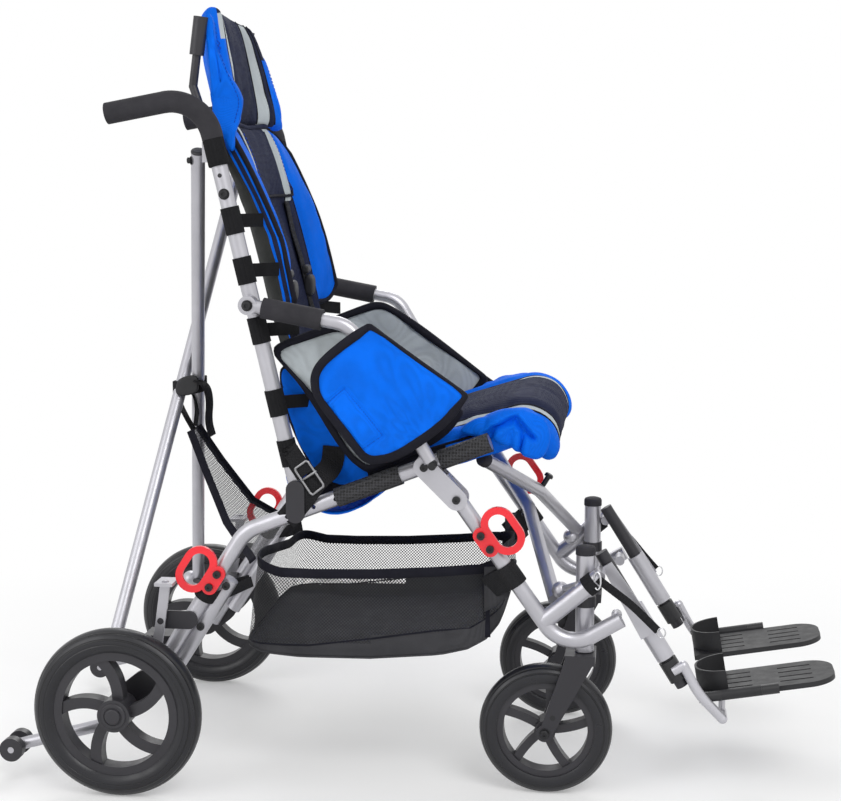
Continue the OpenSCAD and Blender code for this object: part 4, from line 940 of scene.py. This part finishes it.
# basket: net walls over a stiff base; heights of its rim, base and seam along x
rim_z = line((168, 348), (186, 346), (233, 335), (311, 333), (418, 338), (540, 348), (570, 360))
base_z = line((165, 212), (200, 203), (263, 199), (387, 201), (479, 211), (520, 221), (548, 236), (566, 256),
              (575, 276))
seam_z = line((165, 216), (177, 216), (310, 218), (418, 242), (525, 254), (563, 276), (580, 290))
A_N, T_N, BASE_RINGS = 168, 30, 14
BASKET_X = 371
PHI = turn(A_N)


# point of the wall at an angle, from the base (t = 0) to the rim (t = 1); the far rim hangs lower
def around(phi, t):
    c, s = math.cos(phi), math.sin(phi)
    square = 2 / 9.0
    x = lerp(BASKET_X, 377, t) + lerp(201, 190, t) * math.copysign(abs(c) ** square, c)
    y = (188 + 2.5 * math.sin(math.pi * t)) * math.copysign(abs(s) ** square, s)
    z = lerp(base_z(x), rim_z(x) - 32 * ease((y + 120) / 240), t)
    return (x, y, z + 2.0 * math.sin(5 * phi + 2) * t * (1 - 0.5 * t))


wall = np.array([[around(phi, t / T_N) for phi in PHI] for t in range(T_N + 1)])
verts = list(wall.reshape(-1, 3))
faces = ring_faces(T_N + 1, A_N, caps=False)
index = []
for f in faces:
    x, _, z = wall.reshape(-1, 3)[f].mean(0)
    index.append(0 if z > min(seam_z(x), lerp(base_z(x), rim_z(x), 0.36)) else 1)
for r in range(1, BASE_RINGS + 1):
    f = 1 - r / (BASE_RINGS + 0.4)
    for x, y, _ in wall[0]:
        x, y = BASKET_X + (x - BASKET_X) * f, y * f
        verts.append((x, y, base_z(x) - 3 * (1 - f * f) + 1.5 * math.sin(x / 17.0) * math.sin(y / 23.0)))
start = [0] + [(T_N + r) * A_N for r in range(1, BASE_RINGS + 1)]
for a, b in zip(start, start[1:]):
    for k in range(A_N):
        q = (k + 1) % A_N
        faces.append([a + k, a + q, b + q, b + k])
faces.append([start[-1] + k for k in range(A_N)])
index += [1] * (len(faces) - len(index))
net = piece(verts, faces, [NET, BASE], index)
arc = run(wall[T_N // 2]) / 1000
uv = [(arc[k], wall[t, k, 2] / 1000) for t in range(T_N + 1) for k in range(A_N)]
set_uv(net, uv + [(v[0] / 1000, v[1] / 1000) for v in verts[len(uv):]])
crease(net, 0.0012, 0.05, (1, 1, 1), 6.0)
seam = []
for k, phi in enumerate(PHI):
    (x, _, foot), rim = wall[0, k], wall[-1, k, 2]
    z = min(max(seam_z(x), foot + 4), rim - 4)
    seam.append(around(phi, (z - foot) / (rim - foot)))
bits = [net, strap(wall[T_N] + [0, 0, -4], (0, 0, 1), 15, 3.4, BIND, True),
        tube(seam, 1.3, BIND, True), tube(wall[0], 1.5, BASE, True)]
for s in SIDES.values():
    k = int(np.argmin([abs(p[0] - 546) + (0 if p[1] * s > 150 else 900) for p in wall[T_N]]))
    bits.append(strap(wall[:, k] + [0, s * 0.8, 0], (1, 0, 0), 10, 2.0, BIND))
basket = join("basket_net", bits)
settle(basket, "right_frame", ["basket"], BASKET_FOLD)

# straps of the basket round the front legs and the rails' rear legs
LEG, REAR = (668 - 486, 0, 232 - 490), (18 - 186, 0, 134 - 400)
for side, s in SIDES.items():
    front = looped((588, s * SIDE_Y, 345.4), LEG, (0.8, s * 0.5, 0.55), (552, s * 192, 318), 36)
    rows = [[(546, s * 191, 350 - 70 * t), (560 + 6 * t, s * 196, 352 - 60 * t), (576 + 10 * t, s * 203, 352 - 40 * t)]
            for t in np.linspace(0, 1, 6)]
    gore = sheet_grid(rows, 1.6, BASE)
    rear = looped((124, s * SIDE_Y, 301.8), REAR, (-0.8, s * 0.5, 0.3), (188, s * 191, 316), 20)
    settle(join(side + "_basket_straps", [front, gore, rear]), side + "_frame")

# net triangle from the basket's rear rim up to the rear cross tubes
net_x = line((0, 187), (0.25, 161), (0.5, 124), (0.8, 80), (1, 50))
net_z = line((0, 344), (0.25, 352), (0.5, 385), (0.8, 462), (1, 520))
rows = []
for t in np.linspace(0, 1, 25):
    half, sag = lerp(176, 24, t ** 0.8), math.sin(math.pi * t)
    rows.append([(net_x(t) - 8 * (1 - v * v) * sag, half * v, net_z(t) - 10 * (1 - v * v) * sag)
                 for v in np.linspace(-1, 1, 33)])
tri = sheet_grid(rows, 0, FINE_NET)
set_uv(tri, [(p[1] / 1000, i * 0.0085) for i, row in enumerate(rows) for p in row])
bits = [strap([row[j] for row in rows], (0.8, 0, 0.6), 13, 2.2, BIND) for j in (0, 32)]
TIE = [(50, 0, 516), (34, -6, 548), (24, -4, 572), (40, 4, 590), (56, 6, 566), (52, 0, 524)]
bits.append(strap(smooth_path(TIE, 50), (0, 1, 0), 24, 2.2, WEB))
tri = join("rear_net", [tri] + bits)
settle(tri, "right_frame", (), SEAT_FOLD)

# band with a plastic buckle round the crossing of the rear tubes
loop = [(44 + 27.5 * math.cos(t), 17 * math.sin(t), 590 + 5 * math.cos(t)) for t in turn(56)]
CLIP = [(28, 575), (62, 580), (66, 600), (60, 612), (32, 606), (26, 590)]
TAIL = [(60, -20, 602), (78, -24, 596), (84, -25, 570), (80, -24, 536), (86, -22, 512)]
bits = [strap(loop, (0, 0, 1), 25, 2.2, WEB, True),
        pillow(CLIP, -21, 9, [PLATE], n=60, rings=8, edge=0.6)[0],
        strap(smooth_path(TAIL, 40), (0.3, 1, 0), 22, 2.0, WEB)]
settle(join("rear_band", bits), "right_rear_tube")

# harness: shoulder straps on the back pad, each with a buckle and its slider (up, width, height, half depth)
BUCKLES = ((0, 30, 34, 7), (27, 28, 14, 6))
bits = []
for v in (0.3, 0.7):
    j = round(v * NV)
    path = [btop[i, j] + [3.2 + 1.5 * math.sin(i * 0.5), 0, 0] for i in range(round(0.73 * NU), round(0.3 * NU), -2)]
    bits.append(strap(smooth_path(path, 60), (0, 1, 0), 27, 2.4, WEB))
    for rise, w, h, d in BUCKLES:
        x, y, z = btop[round(0.42 * NU), j] + [8 + BACK_DIR[0] * rise, 0, BACK_DIR[1] * rise]
        box = [(x - d, z - h / 2), (x + d, z - h / 2), (x + d, z + h / 2), (x - d, z + h / 2)]
        bits.append(pillow(box, y, w, [PLATE], n=48, rings=6, edge=0.8)[0])
settle(join("shoulder_straps", bits), "right_upright", ["harness"], BACK_FOLD)

# lap belt stubs: webbing through a rectangular buckle on the outside of each rail
BELT = [(250, 224, 420), (262, 227, 434), (284, 229, 462), (297, 228, 482), (312, 214, 494), (316, 192, 502),
        (318, 188, 528)]
BELT_TAIL = [(284, 231, 492), (262, 231, 524), (258, 228, 530), (256, 225, 524), (280, 228, 490)]
BELT_BUCKLE, BELT_BAR = [(266, 500), (285, 514), (311, 476), (292, 461)], [(277, 483), (299, 498)]
BUCKLE_Y = 232.5
ring = on_sides(BELT_BUCKLE, (0.07, 0.12, 0.5, 0.88, 0.93))
for side, s in SIDES.items():
    belt, tail = (np.array(p, float) * (1, s, 1) for p in (BELT, BELT_TAIL))
    bits = [strap(smooth_path(belt, 44), (0.75, 0, -0.55), 34, 2.2, WEB),
            tube([(x, s * BUCKLE_Y, z) for x, z in ring], 1.9, BUCKLE, True),
            tube([(x, s * BUCKLE_Y, z) for x, z in BELT_BAR], 1.9, BUCKLE),
            strap(smooth_path(tail, 40), (0.8, 0, 0.6), 26, 2.0, WEB)]
    settle(join(side + "_lap_belt", bits), side + "_frame", ["lap_belt"] if s < 0 else ())

# small fittings, turned from profiles of (along, radius)
SCREW = [(0, 8.2), (1.3, 8.2), (1.3, 6.4), (5.0, 6.2), (6.2, 5.0), (6.2, 3.0), (4.2, 2.9), (4.2, 0)]
NUT = [(0, 6.5), (1.0, 6.5), (1.0, 4.6), (5.5, 4.6), (6.5, 3.4), (6.5, 0)]
HUB = [(-1, 19.5), (1.6, 19.5), (2.8, 18.2), (2.8, 14.2), (1.7, 13.4), (1.7, 12.2), (4.2, 11.4), (5.0, 10.0), (5.0, 0)]
UPRIGHT_HOLE, FORK_HOLE = [(-1, 3.2), (0.15, 3.2), (0.15, 0)], [(-1, 4.2), (0.25, 4.2), (0.25, 0)]
POST_RING = [(0, 14), (0.5, 16.4), (15.5, 16.4), (16, 14)]
POST_CAP = [(-6, 14.2), (-6, 15), (3, 15), (6, 13.4), (7.6, 9), (8, 0)]
FORK_Y = 211.8
UP = (BACK_DIR[0], 0, BACK_DIR[1])
STRUT = (719 - 637.06, 0, 346 - 275.86)
LANYARD = [(717, 231, 347), (740, 226, 328), (766, 208, 304), (786, 197, 282), (806, 192, 261)]
for side, s in SIDES.items():
    out = (0, s, 0)
    bits = [ring_on((upright_x(966.5), s * SIDE_Y, 966.5), UP, 14.2, 42, 3.2, FELT),
            lathe((upright_x(905), s * 227.2, 905), out, SCREW, BOLT),
            lathe((upright_x(932), s * 227.05, 932), out, UPRIGHT_HOLE, BLACK),
            lathe((201.9, s * 251.0, 744), out, SCREW, BOLT)]
    settle(join(side + "_grip_band", bits), side + "_upright")
    bits = [lathe((POST_X, s * POST_Y, 378), (0, 0, 1), POST_CAP, FOAM),
            lathe((POST_X, s * POST_Y, 293), (0, 0, 1), POST_RING, BLACK)]
    settle(join(side + "_post_cap", bits), side + "_frame")
    bits = [lathe((CASTER_X, s * FORK_Y, CASTER_R), out, SCREW, BOLT),
            lathe((CASTER_X + 12, s * FORK_Y, CASTER_R + 25), out, FORK_HOLE, BOLT)]
    settle(join(side + "_fork_screw", bits), side + "_caster")
    hub = lathe((0, s * 302.6, WHEEL_R), out, HUB, RIM, 48)
    settle(join(side + "_hub_cap", [hub]), side + "_rear_wheel")
    # band on the strut, with a steel ring and a lanyard that hangs from it
    hoop = [(716 + 5 * math.cos(t), s * (230 + 3 * math.cos(t)), 344 + 13 * math.sin(t)) for t in turn(36)]
    bits = [ring_on((706, s * SIDE_Y, 334.9), STRUT, 14.6, 17, 2.6, WEB),
            tube(hoop, 1.5, STEEL, True)]
    settle(join(side + "_strut_band", bits), side + "_frame")
    path = smooth_path(np.array(LANYARD, float) * (1, s, 1), 40)
    lanyard = join(side + "_lanyard", [strap(path, (0.62, 0, 0.78), 12, 2.2, WEB)])
    hoop = [(811 + 6 * math.cos(t), s * (192 + 1.5 * math.sin(t)), 258 + 8 * math.sin(t)) for t in turn(32)]
    hook = join(side + "_lanyard_ring", [tube(hoop, 1.0, STEEL, True)])
    settle(lanyard, side + "_frame")
    settle(hook, side + "_frame")

# plugs and screws at the cross tubes' ends, and the screw where the front pair crosses;
# the pairs lie apart along x at the rear and along LEAN in front
PLUG = [(-0.4, 10.7), (1.6, 10.7), (3.2, 9.4), (3.8, 7.0), (3.8, 0)]
CAP = [(-1.5, 11.6), (7.0, 11.6), (10.0, 10.4), (12.0, 7.5), (12.6, 0)]
LONG_SCREW = [(0, 4.2), (16, 4.2), (16, 7.4), (20, 7.0), (21.5, 5.4), (21.5, 0)]
LEAN = unit((0.518, 0, 0.856))
REAR_APART, FRONT_APART, TUBE_OUT = 14, 16, 10.4
for side, s in SIDES.items():
    top = np.array([104 + REAR_APART * s, -s * 196.0, 966.0])
    low = np.array([-16 + REAR_APART * s, s * 196.0, 215.0])
    bits = [lathe(top, top - low, PLUG, BLACK),
            lathe(top + [-10.2, 0, -12], (-1, 0, 0), NUT, BOLT)]
    settle(join(side + "_rear_plug", bits), side + "_rear_tube")
    shift = LEAN * FRONT_APART * s
    pivot, high = np.array([660.0, s * 182, 316]), np.array([520.0, -s * 180, 510])
    bend = (pivot + high) / 2 + [18, 0, 4] + shift
    end = pivot + (high - pivot) * 0.9 + shift
    bits = [lathe(end, end - bend, CAP, FOAM),
            lathe(bend + LEAN * TUBE_OUT * s, LEAN * s, LONG_SCREW if s > 0 else NUT, BOLT)]
    settle(join(side + "_front_cap", bits), side + "_front_tube")


# stage and light
# 1 for the rays that show the white background: to the camera, in metal and through glass
def seen_rays(tree):
    path = tree.nodes.new("ShaderNodeLightPath").outputs
    total = path["Is Camera Ray"]
    for kind in ("Is Glossy Ray", "Is Transmission Ray"):
        total = add(tree, "ShaderNodeMath", {0: total, 1: path[kind]}, operation="MAXIMUM").outputs[0]
    return total


# the floor keeps the shadow near the buggy and turns white further out
SHADOW_R, WHITE_R = 0.75, 1.5
bpy.ops.mesh.primitive_plane_add(size=30.0, location=(0, 0, 0))
floor = bpy.context.object
floor.name = "floor"
n = Nodes("floor_paper")
n.look("Base Color", n.ramp(n.noise(3.0), (0.94, 0.94, 0.94), (0.97, 0.97, 0.97)))
n.look("Roughness", 0.9)
n.look("Specular IOR Level", 0.0)
x, y, _ = n.xyz()
white = n.add("ShaderNodeEmission", {"Color": (1, 1, 1, 1)})
share = n.math("MULTIPLY", n.span(n.hypot(x, y), SHADOW_R, WHITE_R, 0.25, 1.0), seen_rays(n.t))
mix = n.add("ShaderNodeMixShader", {0: share, 1: n.b.outputs[0], 2: white.outputs[0]})
put(n.t, n.t.nodes["Material Output"].inputs["Surface"], mix.outputs[0])
floor.data.materials.append(n.m)
floor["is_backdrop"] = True

world = bpy.data.worlds.new("studio")
scene.world = world
world.use_nodes = True
wt = world.node_tree
lit = wt.nodes["Background"]
lit.inputs["Color"].default_value = (1, 1, 1, 1)
lit.inputs["Strength"].default_value = 0.62
plain = add(wt, "ShaderNodeBackground", {"Color": (1, 1, 1, 1)})
pick = add(wt, "ShaderNodeMixShader", {0: seen_rays(wt), 1: lit.outputs[0], 2: plain.outputs[0]})
put(wt, wt.nodes["World Output"].inputs["Surface"], pick.outputs[0])


def lamp(name, place, aim, size, power):
    d = bpy.data.lights.new(name, "AREA")
    d.shape = "DISK"
    d.size = size
    d.energy = power
    o = bpy.data.objects.new(name, d)
    scene.collection.objects.link(o)
    o.location = place
    o.rotation_euler = (Vector(aim) - Vector(place)).to_track_quat("-Z", "Y").to_euler()


lamp("key", (1.6, -2.6, 3.2), (0, 0, 0.5), 2.2, 60.0)
lamp("fill", (-2.4, -2.2, 1.8), (0, 0, 0.5), 2.5, 28.0)
lamp("rim", (-0.5, 2.8, 2.6), (0, 0, 0.6), 2.0, 40.0)

scene.view_settings.view_transform = "Standard"
low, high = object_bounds()
